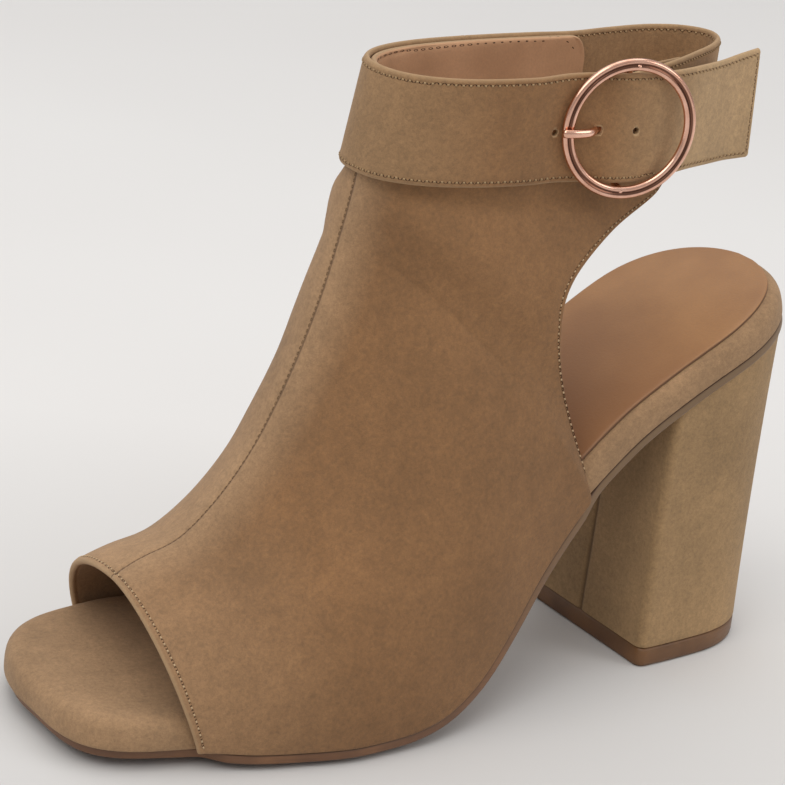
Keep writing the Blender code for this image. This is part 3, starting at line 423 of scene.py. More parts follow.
# Pinched lines of the outer band in front of the buckle: along and up from the ring's centre
Pinch = namedtuple("Pinch", "along low high width depth")
PINCHES = (
    Pinch(-0.0206, 0.0014, 0.0085, 0.00055, 0.00022),
    Pinch(-0.0232, 0.0004, 0.0072, 0.00060, 0.00020),
    Pinch(-0.0204, -0.0092, -0.0036, 0.00055, 0.00016),
    Pinch(0.0046, -0.0090, 0.0060, 0.00090, 0.00018),
    Pinch(0.0081, -0.0110, 0.0108, 0.00110, -0.00026),
)


# Shapes shared with the solids
def ramp(value, start, stop):
    """A share that goes evenly from none at the start to one at the stop."""
    return np.clip((value - start) / (stop - start), 0.0, 1.0)


def eased(t, start, stop, leaving, arriving):
    """Cubic from one value to the next with these tangents at its ends."""
    return (
        (1 + 2 * t) * (1 - t) ** 2 * start
        + t * (1 - t) ** 2 * leaving
        + t * t * (3 - 2 * t) * stop
        + t * t * (t - 1) * arriving
    )


def steady(xs, ys, x):
    """Monotone cubic through a table, so that a curve has no bumps between its rows."""
    xs = np.asarray(xs, float)
    ys = np.asarray(ys, float)
    x = np.clip(np.asarray(x, float), xs[0], xs[-1])
    step = np.diff(xs)
    slope = np.diff(ys) / step
    tangent = np.zeros(len(xs))
    tangent[0] = slope[0]
    tangent[-1] = slope[-1]
    for i in range(1, len(xs) - 1):
        if slope[i - 1] * slope[i] > 0:
            before = 2 * step[i] + step[i - 1]
            after = step[i] + 2 * step[i - 1]
            tangent[i] = (before + after) / (before / slope[i - 1] + after / slope[i])
    i = np.clip(np.searchsorted(xs, x, side="right") - 1, 0, len(step) - 1)
    t = (x - xs[i]) / step[i]
    return eased(t, ys[i], ys[i + 1], step[i] * tangent[i], step[i] * tangent[i + 1])


def through(knots, per_span):
    """Points on a smooth curve through the knots, spaced by chord so that close knots stay calm."""
    knots = np.asarray(knots, float)
    chord = np.maximum(np.linalg.norm(np.diff(knots[:, :3], axis=0), axis=1), 1e-6) ** 0.5
    tangent = np.empty_like(knots)
    slope = np.diff(knots, axis=0) / chord[:, None]
    tangent[0] = slope[0]
    tangent[-1] = slope[-1]
    for i in range(1, len(knots) - 1):
        tangent[i] = (slope[i - 1] * chord[i] + slope[i] * chord[i - 1]) / (chord[i] + chord[i - 1])
    found = []
    for i in range(len(chord)):
        leaving, arriving = chord[i] * tangent[i], chord[i] * tangent[i + 1]
        for t in np.arange(per_span) / per_span:
            found.append(eased(t, knots[i], knots[i + 1], leaving, arriving))
    found.append(knots[-1])
    return np.array(found)


def sole_x(share):
    return SOLE_BACK - np.asarray(share) * SOLE_LENGTH


def sole_share(x):
    return (SOLE_BACK - np.asarray(x)) / SOLE_LENGTH


def sole_top(share):
    """Height of the outsole's upper side."""
    return SEAT_HEIGHT * steady([p.length for p in SOLE_LINE], [p.height for p in SOLE_LINE], share)


def sole_point(share, rise):
    """A point of the sole's side view, this far above the outsole's upper side, square to it."""
    step = 0.004
    low = np.maximum(share - step, 0.0)
    high = np.minimum(share + step, 1.0)
    along_x = sole_x(high) - sole_x(low)
    along_z = sole_top(high) - sole_top(low)
    size = np.hypot(along_x, along_z)
    return sole_x(share) + rise * along_z / size, sole_top(share) - rise * along_x / size


def end_round(share, roundness):
    back = ramp(share, BACK_ROUND_SHARE, 0.0)
    toe = ramp(share, TOE_END_SHARE - TOE_ROUND_SHARE, TOE_END_SHARE)
    back_cap = (1.0 - back**BACK_ROUNDNESS) ** (1.0 / BACK_ROUNDNESS)
    return back_cap * (1.0 - toe**roundness) ** (1.0 / roundness)


def sole_sides(share):
    """Y of the footbed's outer and inner edge. The tip of the toe lies towards the inner side."""
    share = np.asarray(share, float)
    lengths = [p.length for p in SOLE_PLAN]
    outer = steady(lengths, [p.outer for p in SOLE_PLAN], share) * HALF_BALL
    inner = steady(lengths, [p.inner for p in SOLE_PLAN], share) * HALF_BALL
    toe = ramp(share, TOE_END_SHARE - TOE_ROUND_SHARE, TOE_END_SHARE)
    middle = TOE_TIP_Y * toe**3
    outer = middle - outer * end_round(share, TOE_OUTER_ROUNDNESS)
    return outer, middle + inner * end_round(share, TOE_INNER_ROUNDNESS)


def sole_outline(count):
    """Shares and sides of the footbed's outline, closer together at the two ends."""
    even = np.linspace(0.0, 1.0, count)
    share = 0.001 + (TOE_END_SHARE - 0.002) * (0.22 * even + 0.78 * (0.5 - 0.5 * np.cos(np.pi * even)))
    outer, inner = sole_sides(share)
    return share, outer, inner


def grown(share, outer, inner, by):
    """The outline moved out by a distance, square to itself, as shares and sides."""
    x = np.concatenate([sole_x(share), sole_x(share)[::-1]])
    y = np.concatenate([outer, inner[::-1]])
    by = np.concatenate([by, by[::-1]])
    dx = np.roll(x, -1) - np.roll(x, 1)
    dy = np.roll(y, -1) - np.roll(y, 1)
    size = np.hypot(dx, dy)
    x = x - by * dy / size
    y = y + by * dx / size
    n = len(share)
    return (x[:n], y[:n]), (x[n:][::-1], y[n:][::-1])


def rows(side, rise):
    """3-D points of one side of a sole loop, standing a rise above the outsole's upper side."""
    x, y = side
    px, pz = sole_point(sole_share(x), rise)
    return np.stack([px, y, pz], axis=1)


def covered(share):
    """One where the upper comes down over the sole, none at the bare toe and under the heel."""
    toe = ramp(share, COVER_FRONT_SHARE, COVER_FRONT_SHARE - COVER_BLEND)
    return toe * ramp(share, COVER_BACK_SHARE, COVER_BACK_SHARE + COVER_BLEND)


def sock_plan(share):
    """Y of the sock's two sides: the footbed's outline, drawn in by the margin at the seat."""
    shift = SOCK_MARGIN / SOLE_LENGTH
    blend = ramp(share, BACK_ROUND_SHARE * 2, BACK_ROUND_SHARE)
    outer, inner = sole_sides(np.maximum(share - shift * blend, 0.0))
    middle = (outer + inner) / 2
    half = (inner - outer) / 2
    wide = float(np.diff(sole_sides(BACK_ROUND_SHARE))[0]) / 2
    half = half - SOCK_MARGIN * np.minimum(half / wide, 1.0)
    front = ramp(share, SOCK_FRONT_SHARE - SOCK_FRONT_ROUND, SOCK_FRONT_SHARE)
    half = half * (1.0 - front**SOCK_ROUNDNESS) ** (1.0 / SOCK_ROUNDNESS)
    return middle - half, middle + half


def heel_corner(k):
    """Angle round the heel's front corner, a right angle where the side begins."""
    return math.pi / 2 * ramp(k, 0.0, CORNER_STEPS)


def tread_plan(k):
    """X and half width of the heel's tread, from the breast (0) to the back (1)."""
    corner = heel_corner(k)
    front = -TREAD_LENGTH / 2
    run = ramp(k, CORNER_STEPS, 1.0)
    x = front + HEEL_CORNER * (1 - np.cos(corner)) + run * (TREAD_LENGTH - HEEL_CORNER)
    width = TREAD_WIDTH / 2 - HEEL_CORNER * (1 - np.sin(corner)) - HEEL_SIDE_TAPER * run**1.3
    back = ramp(x / TREAD_LENGTH, -TREAD_ROUND_START, TREAD_ROUND_RUN - TREAD_ROUND_START)
    return x, width * (1.0 - back**TREAD_ROUNDNESS) ** (1.0 / TREAD_ROUNDNESS)


def feather_end(share, side):
    """The upper's outer face where it meets the sole. Side is -1 for outer, 1 for inner."""
    step = 0.003
    ys = [float(sole_sides(s)[0 if side < 0 else 1]) for s in (share - step, share, share + step)]
    dx = float(sole_x(share + step) - sole_x(share - step))
    dy = ys[2] - ys[0]
    size = math.hypot(dx, dy)
    out = FEATHER_GAP + UPPER_WALL
    x = float(sole_x(share)) + side * out * dy / size
    y = ys[1] - side * out * dx / size
    return np.array([x, y, float(sole_top(sole_share(x))) + FEATHER_RISE])


def spread(values, at, straight_last=True):
    """Smooth values between rows of the section table; the last span is straight."""
    values = np.asarray(values, float)
    i = min(int(at), len(values) - 2)
    t = at - i
    if straight_last and i == len(values) - 2:
        return values[i] + (values[i + 1] - values[i]) * t
    before = values[max(i - 1, 0)]
    after = values[min(i + 2, len(values) - 1)]
    start = (values[i + 1] - before) / (2.0 if i else 1.0)
    stop = (after - values[i]) / 2.0
    if straight_last and i == len(values) - 3:
        stop = values[i + 1] - values[i]
    return eased(t, values[i], values[i + 1], start, stop)


LAST_ON_SOLE = max(i for i, row in enumerate(SECTIONS) if row.outer.width is None)
CUFF_ROW = len(SECTIONS) - 2


def section_controls(at, side):
    """Four control points of one half of a section, from the seam to its end."""
    ends = [row.outer if side < 0 else row.inner for row in SECTIONS]
    seam = np.array(
        [
            float(sole_x(spread([row.seam_length for row in SECTIONS], at))),
            0.0,
            COLLAR_HEIGHT * spread([row.seam_height for row in SECTIONS], at),
        ]
    )
    placed = []
    for end in ends:
        if end.width is None:
            placed.append(feather_end(end.length, side))
        else:
            placed.append(
                np.array(
                    [float(sole_x(end.length)), side * end.width * HALF_BALL, end.height * COLLAR_HEIGHT]
                )
            )
    if at <= LAST_ON_SOLE:
        share = spread([end.length for end in ends[: LAST_ON_SOLE + 1]], at, False)
        last = feather_end(share, side)
    else:
        last = spread(placed[LAST_ON_SOLE:], at - LAST_ON_SOLE)
    grow = np.array([SOLE_LENGTH, side * HALF_BALL, COLLAR_HEIGHT])
    tops = [row.outer_top if side < 0 else row.inner_top for row in SECTIONS]
    top = spread([[top.forward, top.out, top.up] for top in tops], at) * grow
    low = spread([[end.forward, end.out, end.up] for end in ends], at) * grow
    return seam, seam + top, last + low, last


def inner_reach(at):
    """How far round the inner half goes: the top corner of the inner tab is rounded."""
    height = (at - CUFF_ROW) * COLLAR_SPAN
    above = height - (COLLAR_SPAN - INNER_CORNER)
    if above <= 0:
        return 1.0
    cut = INNER_CORNER - math.sqrt(max(INNER_CORNER**2 - above**2, 0.0))
    return 1.0 - cut / COLLAR_REACH


def plan_normals(line):
    """Horizontal directions square to a line, to its right as it goes."""
    ahead = np.gradient(line[:, :2], axis=0)
    ahead /= np.linalg.norm(ahead, axis=1)[:, None]
    return np.stack([ahead[:, 1], -ahead[:, 0], np.zeros(len(ahead))], axis=1)


def away_from_upper(low, high, out, sign):
    square = plan_normals((low + high) / 2) * out * sign
    return low + square, high + square


def band_rows(table):
    low = []
    high = []
    for row in table:
        x = float(sole_x(row.length))
        y = row.width * HALF_BALL
        low.append((x, y, row.low * COLLAR_HEIGHT))
        high.append((x, y, row.high * COLLAR_HEIGHT))
    return np.array(low), np.array(high)


def ring_place(along, out, up=0.0):
    """World point from buckle coordinates: along to the back, out from the shoe, up."""
    c, s = math.cos(RING_TURN), math.sin(RING_TURN)
    x = float(sole_x(RING_LENGTH_SHARE)) + along * c - out * s
    y = -RING_WIDTH_SHARE * HALF_BALL - along * s - out * c
    return np.array([x, y, RING_HEIGHT_SHARE * COLLAR_HEIGHT + up])


def ring_rows(table):
    low = [ring_place(row.along + row.slant, row.out, row.low) for row in table]
    high = [ring_place(row.along, row.out, row.high) for row in table]
    return low, high


# Meshes
def linked(name, data):
    made = bpy.data.objects.new(name, data)
    bpy.context.scene.collection.objects.link(made)
    return made


def closed_mesh(name, points, faces):
    """A mesh with all its faces turned outwards."""
    mesh = bpy.data.meshes.new(name)
    mesh.from_pydata([tuple(map(float, p)) for p in points], [], [tuple(map(int, f)) for f in faces])
    build = bmesh.new()
    build.from_mesh(mesh)
    bmesh.ops.recalc_face_normals(build, faces=build.faces)
    build.to_mesh(mesh)
    build.free()
    return mesh


def ring_faces(rings, size, closed=False):
    """Faces between rings of points in turn. A closed run joins its last ring to its first."""
    faces = []
    for k in range(rings if closed else rings - 1):
        m = (k + 1) % rings
        for i in range(size):
            j = (i + 1) % size
            faces.append((k * size + i, k * size + j, m * size + j, m * size + i))
    return faces


def mesh_object(name, points, faces, *surfaces, levels=0):
    mesh = closed_mesh(name, points, faces)
    mesh.shade_smooth()
    made = linked(name, mesh)
    for surface in surfaces:
        mesh.materials.append(surface)
    if levels:
        step = made.modifiers.new("round", "SUBSURF")
        step.levels = levels
        step.render_levels = levels
    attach(made, "root")
    return made


def paint(made, name, values):
    """A number for each point, which the material reads."""
    layer = made.data.attributes.new(name, "FLOAT", "POINT")
    layer.data.foreach_set("value", np.asarray(values, np.float32))


def settled(made):
    """Turns the modifiers of a piece into its mesh."""
    graph = bpy.context.evaluated_depsgraph_get()
    mesh = bpy.data.meshes.new_from_object(made.evaluated_get(graph), depsgraph=graph)
    made.modifiers.clear()
    made.data = mesh
    return made


def skin_of(made):
    """A tree for finding the nearest place on a piece as it is shown."""
    graph = bpy.context.evaluated_depsgraph_get()
    shown = made.evaluated_get(graph)
    mesh = shown.to_mesh()
    corners = [v.co.copy() for v in mesh.vertices]
    tree = BVHTree.FromPolygons(corners, [tuple(p.vertices) for p in mesh.polygons])
    shown.to_mesh_clear()
    return tree


def bezier(controls, turns):
    a, b, c, d = controls
    t = np.asarray(turns, float)[..., None]
    return (1 - t) ** 3 * a + 3 * (1 - t) ** 2 * t * b + 3 * (1 - t) * t * t * c + t**3 * d


def run_along(points):
    """Distance of each point from the first one, along the line."""
    return np.concatenate([[0.0], np.cumsum(np.linalg.norm(np.diff(points, axis=0), axis=1))])


def taken_at(place, run, line):
    """Points of a line at these distances along it."""
    return np.stack([np.interp(place, run, line[:, k]) for k in range(3)], axis=1)


def unit(ways):
    """Directions scaled to a length of one."""
    return ways / np.maximum(np.linalg.norm(ways, axis=-1), 1e-12)[..., None]


def bell(distance, width):
    """One in the middle, falling softly to nothing on both sides."""
    return np.exp(-((distance / width) ** 2))


def line_distance(points, line):
    """Distance of each point from a broken line."""
    best = np.full(len(points), 1e9)
    for start, stop in zip(line[:-1], line[1:]):
        way = stop - start
        t = np.clip(((points - start) @ way) / max(way @ way, 1e-12), 0.0, 1.0)
        best = np.minimum(best, np.linalg.norm(points - start - t[:, None] * way, axis=1))
    return best


def grid_normals(grid):
    normal = unit(np.cross(np.gradient(grid, axis=0), np.gradient(grid, axis=1)))
    if ((grid - grid.mean(axis=(0, 1))) * normal).sum() < 0:
        normal = -normal
    return normal


# Upper
def half_row(at, side, reach):
    """Points of one half of a section, with their distances from the seam and from the end."""
    turns = np.linspace(0.0, reach, 161)
    controls = section_controls(at, side)
    run = run_along(bezier(controls, turns))
    total = run[-1]
    middle = np.linspace(SEAM_STATIONS[-1], total - EDGE_STATIONS[-1], SIDE_STATIONS + 2)[1:-1]
    place = np.concatenate([SEAM_STATIONS, middle, total - np.array(EDGE_STATIONS[::-1])])
    return bezier(controls, np.interp(place, run, turns)), place, total - place


def section_steps():
    steps = [i + k / count for i, count in enumerate(SPAN_STEPS) for k in range(count)]
    steps += [d / TOE_SPAN for d in EDGE_STATIONS]
    steps += [len(SECTIONS) - 1 - d / COLLAR_SPAN for d in EDGE_STATIONS]
    kept = []
    for step in sorted(steps):
        if not kept or step - kept[-1] > 0.012:
            kept.append(step)
    return kept


def sewn_edge(distance, row):
    """How far a face sinks near a sewn edge: a groove under the thread, a fuller fold outside."""
    groove = ROW_DEPTH * bell(distance - row, ROW_WIDTH)
    fold = FOLD_RISE * bell(distance - row * 0.4, 0.0005)
    return groove - fold


def painted_shade_share(from_seam, is_inner, from_toe):
    """Painted shade: how much darker and browner the suede is made where less light falls, most on the outer
    side, least along the seam and at the toe.
    """
    side = ramp(from_seam, 0.002, 0.013)
    painted_shade = np.where(is_inner, INNER_SHADE * side, SEAM_SHADE + (1.0 - SEAM_SHADE) * side)
    return painted_shade * (TOE_SHADE + (1.0 - TOE_SHADE) * ramp(from_toe, 0.0, 0.045))


def upper_fold_line(fold):
    places = np.linspace(fold.start, fold.end, 9)
    return np.array([bezier(section_controls(at, fold.side), [t])[0] for at, t in places])


def settled_on_sole(grid, from_end, free):
    """The lower edge let down on the outsole, so that no gap is left under it."""
    grid = grid.copy()
    grid[..., 2] -= bell(from_end, 0.0010) * (1.0 - free) * SOLE_PRESS
    return grid


def upper(surface, lining):
    grid = []
    from_seam = []
    from_end = []
    steps = section_steps()
    for at in steps:
        inner, inner_seam, inner_end = half_row(at, 1, inner_reach(at))
        outer, outer_seam, outer_end = half_row(at, -1, 1.0)
        grid.append(np.concatenate([inner[::-1], outer[1:]]))
        from_seam.append(np.concatenate([inner_seam[::-1], outer_seam[1:]]))
        from_end.append(np.concatenate([inner_end[::-1], outer_end[1:]]))
    grid = np.array(grid)
    from_seam = np.array(from_seam)
    from_end = np.array(from_end)
    n, m = grid.shape[:2]
    span = np.linalg.norm(np.diff(grid, axis=0), axis=2)
    from_toe = np.concatenate([np.zeros((1, m)), np.cumsum(span, axis=0)])
    from_collar = from_toe[-1] - from_toe
    free = ramp(np.array(steps), LAST_ON_SOLE, LAST_ON_SOLE + 0.4)[:, None]
    free_end = from_end + (1.0 - free) * FAR_AWAY
    grid = settled_on_sole(grid, from_end, free)
    edge = np.minimum(np.minimum(free_end, from_toe), from_collar)
    normal = grid_normals(grid)
    sink = SEAM_DEPTH * bell(from_seam, SEAM_WIDTH) + sewn_edge(edge, UPPER_ROW)
    flat = grid.reshape(-1, 3)
    for fold in UPPER_FOLDS:
        away = line_distance(flat, upper_fold_line(fold)).reshape(n, m)
        sink = sink + fold.depth * bell(away, fold.width)
    is_inner = (np.arange(m) < INNER_COLUMNS)[None, :]
    banded = np.where(is_inner, 1.0, ramp(from_end / OUTER_REACH, 0.40, 0.44))
    push = CUFF_PUSH * banded * ramp(from_collar, COLLAR_SPAN, COLLAR_SPAN - 0.0015)
    rim_near = ramp(from_collar, RIM_SPAN, 0.0)
    grid[..., 2] -= RIM_DROP * rim_near
    outer = grid + normal * (push - sink)[..., None]
    wall = UPPER_WALL * (1.0 - RIM_THINNING * rim_near) - sewn_edge(edge, UPPER_ROW)
    inner = grid - normal * wall[..., None]
    border = [(0, j) for j in range(m)] + [(i, m - 1) for i in range(1, n)]
    border += [(n - 1, j) for j in range(m - 2, -1, -1)] + [(i, 0) for i in range(n - 2, 0, -1)]
    middle = []
    for i, j in border:
        inward = grid[min(max(i, 1), n - 2), min(max(j, 1), m - 2)] - grid[i, j]
        inward = inward / np.linalg.norm(inward)
        middle.append((outer[i, j] + inner[i, j]) / 2 - inward * RIM_BULGE)
        outer[i, j] -= normal[i, j] * (RIM_TURN - RIM_BULGE * 0.3)
        inner[i, j] += normal[i, j] * (RIM_TURN - RIM_BULGE * 0.3)
    points = np.concatenate([outer.reshape(-1, 3), inner.reshape(-1, 3), middle])
    faces = []
    half = n * m
    for i in range(n - 1):
        for j in range(m - 1):
            quad = (i * m + j, i * m + j + 1, (i + 1) * m + j + 1, (i + 1) * m + j)
            faces.append(quad)
            faces.append(tuple(half + q for q in quad[::-1]))
    size = len(border)
    for k in range(size):
        (a, b), (c, d) = border[k], border[(k + 1) % size]
        p, q = 2 * half + k, 2 * half + (k + 1) % size
        faces.append((a * m + b, p, q, c * m + d))
        faces.append((p, half + a * m + b, half + c * m + d, q))
    made = mesh_object("upper_shell", points, faces, surface, lining, levels=1)
    deep = from_toe.reshape(-1) > SUEDE_INSIDE
    for face in made.data.polygons:
        if min(face.vertices) >= half and max(face.vertices) < 2 * half and deep[face.vertices[0] - half]:
            face.material_index = 1
    # Edges made lighter, partly wear and partly painted sheen
    at_edge = np.exp(-edge / 0.0005).reshape(-1)
    at_seam = bell(from_seam, 0.00028).reshape(-1)
    # Painted shade: darker, browner suede where less light falls; the rim's middle points take a little of
    # it
    painted_shade = painted_shade_share(from_seam, is_inner, from_toe).reshape(-1)
    rim = np.ones(size)
    paint(made, "edge", np.concatenate([at_edge, at_edge, rim]))
    # Painted shade along the seam's groove, on the outer face only
    paint(made, "seam", np.concatenate([at_seam, at_seam * 0.0, rim * 0.0]))
    paint(made, "painted_shade", np.concatenate([painted_shade, painted_shade, rim * 0.3]))
    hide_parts("upper")
    return made


# Bands
def band_profile(height, half):
    """Heights along one face of a band and how far that face stands out, with turned edges."""
    near = [
        (0.00010, 0.40),
        (0.00040, 0.78),
        (0.00085, 0.98),
        (BAND_ROW - 0.0004, 1.03),
        (BAND_ROW, 1.0 - ROW_DEPTH / half),
        (BAND_ROW + 0.0004, 0.98),
        (BAND_ROW + 0.0011, 1.0),
    ]
    middle = np.linspace(near[-1][0], height - near[-1][0], 12)[1:-1]
    low = near + [(h, 1.0) for h in middle]
    return low + [(height - h, out) for h, out in near[::-1]]


def band(name, low, high, thickness, surface, node):
    """A fine closed band between two edge lines, with rounded edges and corners."""
    square = plan_normals((low + high) / 2)
    run = run_along((low + high) / 2)
    half = thickness / 2
    rings = []
    marks = []
    for k in range(len(low)):
        end = min(run[k], run[-1] - run[k])
        corner = START_CORNER if run[k] < run[-1] / 2 else END_CORNER
        short = corner - math.sqrt(max(corner**2 - max(corner - end, 0.0) ** 2, 0.0))
        thin = 1.0 - EDGE_THINNING + EDGE_THINNING * min(end / 0.0007, 1.0) ** 0.5
        groove = 1.0 - ROW_DEPTH / half * bell(end - BAND_ROW, ROW_WIDTH)
        reach = square[k] * half * thin * groove
        size = np.linalg.norm(high[k] - low[k])
        up = (high[k] - low[k]) / size
        start_point = low[k] + up * short
        height = size - 2 * short
        face = band_profile(height, half)
        ring = [start_point]
        ring += [start_point + up * h + reach * out for h, out in face]
        ring += [start_point + up * height]
        ring += [start_point + up * h - reach * out for h, out in face[::-1]]
        rings.append(ring)
        near = [0.0] + [min(h, height - h, end) for h, _ in face] + [0.0]
        marks.append(near + [min(h, height - h, end) for h, _ in face[::-1]])
    size = len(rings[0])
    points = np.array([p for ring in rings for p in ring])
    faces = ring_faces(len(rings), size)
    for base in (0, (len(rings) - 1) * size):
        for i in range(size // 2 - 1):
            quad = [base + i, base + i + 1, base + size - 1 - i, base + (size - i) % size]
            faces.append(tuple(dict.fromkeys(quad)))
        faces.append((base + size // 2 - 1, base + size // 2, base + size // 2 + 1))
    made = mesh_object(name, points, faces, surface, levels=1)
    # Band edges made lighter, partly wear and partly painted sheen
    paint(made, "edge", np.exp(-np.concatenate(marks) / 0.0007))
    # Painted shade of the bands, darker and browner where less light falls
    paint(made, "painted_shade", [band_painted_shade(p) if node == "cuff_band" else STRAP_SHADE for p in points])
    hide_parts(node)
    return made


def band_painted_shade(point):
    """Painted shade of a band, darker and browner where less light falls: the front's inner side and the
    free tail are the lightest.
    """
    along = (point - ring_place(0.0, 0.0)) @ (ring_place(1.0, 0.0) - ring_place(0.0, 0.0))
    front = CUFF_SHADE + (1.0 - CUFF_SHADE) * ramp(along, -0.075, -0.035)
    painted_shade = front * (TAIL_SHADE + 0.93 * ramp(along, 0.024, -0.006))
    return painted_shade + (STRAP_SHADE - painted_shade) * ramp(point[1], 0.0, 0.010)


def pinch(made):
    """Presses the pinched lines into the outer face of the band."""
    points = np.empty(len(made.data.vertices) * 3)
    made.data.vertices.foreach_get("co", points)
    points = points.reshape(-1, 3)
    out = ring_place(0.0, 1.0) - ring_place(0.0, 0.0)
    level = (points - ring_place(0.0, 0.0)) @ out
    for line in PINCHES:
        low, high = (ring_place(line.along, 0.0, up) for up in (line.low, line.high))
        flat = points - np.outer(level, out)
        away = line_distance(flat, np.array([low, high]))
        points = points - np.outer(line.depth * bell(away, line.width), out)
    made.data.vertices.foreach_set("co", points.reshape(-1))


def cuff_lines():
    edges = []
    for row in (CUFF_ROW, CUFF_ROW + 1):
        inner = bezier(section_controls(row, 1), CUFF_INNER_STEPS)
        edges.append(np.concatenate([inner, bezier(section_controls(row, -1), CUFF_OUTER_STEPS)]))
    low, high = away_from_upper(*edges, BAND_GAP + CUFF_WALL / 2, 1)
    tail_low, tail_high = ring_rows(TAIL_PATH)
    return fine_lines(np.concatenate([low, tail_low]), np.concatenate([high, tail_high]))


def strap_lines():
    edges = [bezier(section_controls(row, 1), STRAP_INNER_STEPS) for row in (CUFF_ROW, CUFF_ROW + 1)]
    low, high = away_from_upper(*edges, BAND_GAP + STRAP_WALL / 2, -1)
    path_low, path_high = band_rows(STRAP_PATH)
    fold_low, fold_high = ring_rows(STRAP_END)
    turns = [math.radians(degrees) for degrees in (-90, -135, -180, -225, -270)]
    fold = [(STRAP_WRAP * math.cos(a), -BAR_SETBACK + STRAP_WRAP * math.sin(a)) for a in turns]
    for along, out in (*fold, *FOLD_END):
        fold_low.append(ring_place(along, out, -FOLD_HALF_HEIGHT))
        fold_high.append(ring_place(along, out, FOLD_HALF_HEIGHT))
    low = np.concatenate([low, path_low, fold_low])
    high = np.concatenate([high, path_high, fold_high])
    return fine_lines(low, high)


def fine_lines(low, high):
    """Two edge lines in fine steps, with extra steps near both ends for the rounded corners."""
    low = through(low, BAND_STEPS)
    high = through(high, BAND_STEPS)
    run = run_along((low + high) / 2)
    ends = np.array(BAND_ENDS)
    inside = run[(run > BAND_END_SPAN) & (run < run[-1] - BAND_END_SPAN)]
    place = np.concatenate([ends, inside, run[-1] - ends[::-1]])
    return taken_at(place, run, low), taken_at(place, run, high)


def punch(made, cutters):
    """Cuts holes through a piece and keeps its mesh."""
    settled(made)
    for cutter in cutters:
        step = made.modifiers.new("hole", "BOOLEAN")
        step.operation = "DIFFERENCE"
        step.solver = "EXACT"
        step.object = cutter
    settled(made)
    for cutter in cutters:
        bpy.data.objects.remove(cutter, do_unlink=True)


def cutter(along, up, half_length, half_height, out_low, out_high, square=1.0):
    """A rounded post through a band, square to the ring."""
    count = 24
    points = []
    for out in (out_low, out_high):
        for k in range(count):
            angle = 2 * math.pi * k / count
            flat = abs(math.cos(angle)) ** square * math.copysign(1, math.cos(angle))
            tall = abs(math.sin(angle)) ** square * math.copysign(1, math.sin(angle))
            points.append(ring_place(along + half_length * flat, out, up + half_height * tall))
    faces = [tuple(range(count)), tuple(range(2 * count - 1, count - 1, -1))]
    faces += [(k, k + count, (k + 1) % count + count, (k + 1) % count) for k in range(count)]
    return linked("post", closed_mesh("post", points, faces))


# Sole and heel
def stacked(name, loops, surface, across, crown=0.0):
    """A solid from loops of an outer and an inner row each, closed by even grids."""
    n = len(loops[0][0])
    shares = np.linspace(0.0, 1.0, across + 2)
    points = []
    for outer, inner in loops:
        far = [outer[-1] + (inner[-1] - outer[-1]) * s for s in shares[1:-1]]
        near = [inner[0] + (outer[0] - inner[0]) * s for s in shares[1:-1]]
        points += list(outer) + far + list(inner[::-1]) + near
    size = 2 * n + 2 * across
    faces = ring_faces(len(loops), size)
    for k, rise in ((0, 0.0), (len(loops) - 1, crown)):
        outer, inner = loops[k]
        index = np.zeros((n, across + 2), int)
        index[:, 0] = k * size + np.arange(n)
        index[:, -1] = k * size + size - across - 1 - np.arange(n)
        index[-1, 1:-1] = k * size + n + np.arange(across)
        index[0, 1:-1] = k * size + size - 1 - np.arange(across)
        for i in range(1, n - 1):
            for c in range(1, across + 1):
                s = shares[c]
                index[i, c] = len(points)
                lift = rise * 4 * s * (1 - s)
                points.append(outer[i] + (inner[i] - outer[i]) * s + np.array([0.0, 0.0, lift]))
        for i in range(n - 1):
            for c in range(across + 1):
                faces.append((index[i, c], index[i, c + 1], index[i + 1, c + 1], index[i + 1, c]))
    return mesh_object(name, points, faces, surface, levels=1)


def outsole(surface):
    share, outer, inner = sole_outline(OUTLINE_POINTS)
    toe = ramp(share, TOE_INSET_SHARE, TOE_INSET_SHARE + TOE_INSET_BLEND)
    bare = OUTSOLE_INSET + TOE_OUTSOLE_INSET * toe
    out = covered(share) * (OUTSOLE_STANDS_OUT + bare) - bare
    front = ramp(share, TREAD_BACK_SHARE, TREAD_BACK_SHARE + TREAD_BLEND)
    front = front * ramp(share, 1.0, 1.0 - TREAD_BLEND)
    level = (share > FLAT_BACK_SHARE) & (share < FLAT_FRONT_SHARE)
    loops = []
    marks = []
    for inset, depth, tread in (
        (0.0030, 0.0, 0.0),
        (0.0005, 0.0, 0.0),
        (0.0001, 0.0001, 0.0),
        (0.0, 0.0004, 0.0),
        (0.0, OUTSOLE_EDGE / 2, 0.0),
        (0.0, OUTSOLE_EDGE - 0.0006, 0.0),
        (0.0002, OUTSOLE_EDGE - 0.0001, 0.0),
        (0.0007, OUTSOLE_EDGE, 0.0),
        (TREAD_STEP_INSET, OUTSOLE_EDGE, TREAD_DROP * 0.75),
        (TREAD_INSET, OUTSOLE_EDGE, TREAD_DROP),
    ):
        pair = []
        for side in grown(share, outer, inner, out - inset):
            found = rows(side, -(depth + tread * front))
            found[:, 2] = np.maximum(found[:, 2], 0.0)
            if inset == TREAD_INSET:
                found[level, 2] = 0.0
            pair.append(found)
        loops.append(pair)
        marks.append(depth / OUTSOLE_EDGE if inset < 0.001 else 1.0)
    made = stacked("outsole_fine", loops[::-1], surface, SOLE_ACROSS)
    depth = np.ones(len(made.data.vertices))
    size = 2 * len(share) + 2 * SOLE_ACROSS
    for k, mark in enumerate(marks[::-1]):
        depth[k * size : (k + 1) * size] = mark
    # Painted shadow: the top of the edge is marked to be coloured dark, for the gap under the footbed
    paint(made, "depth", depth)
    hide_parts("outsole")


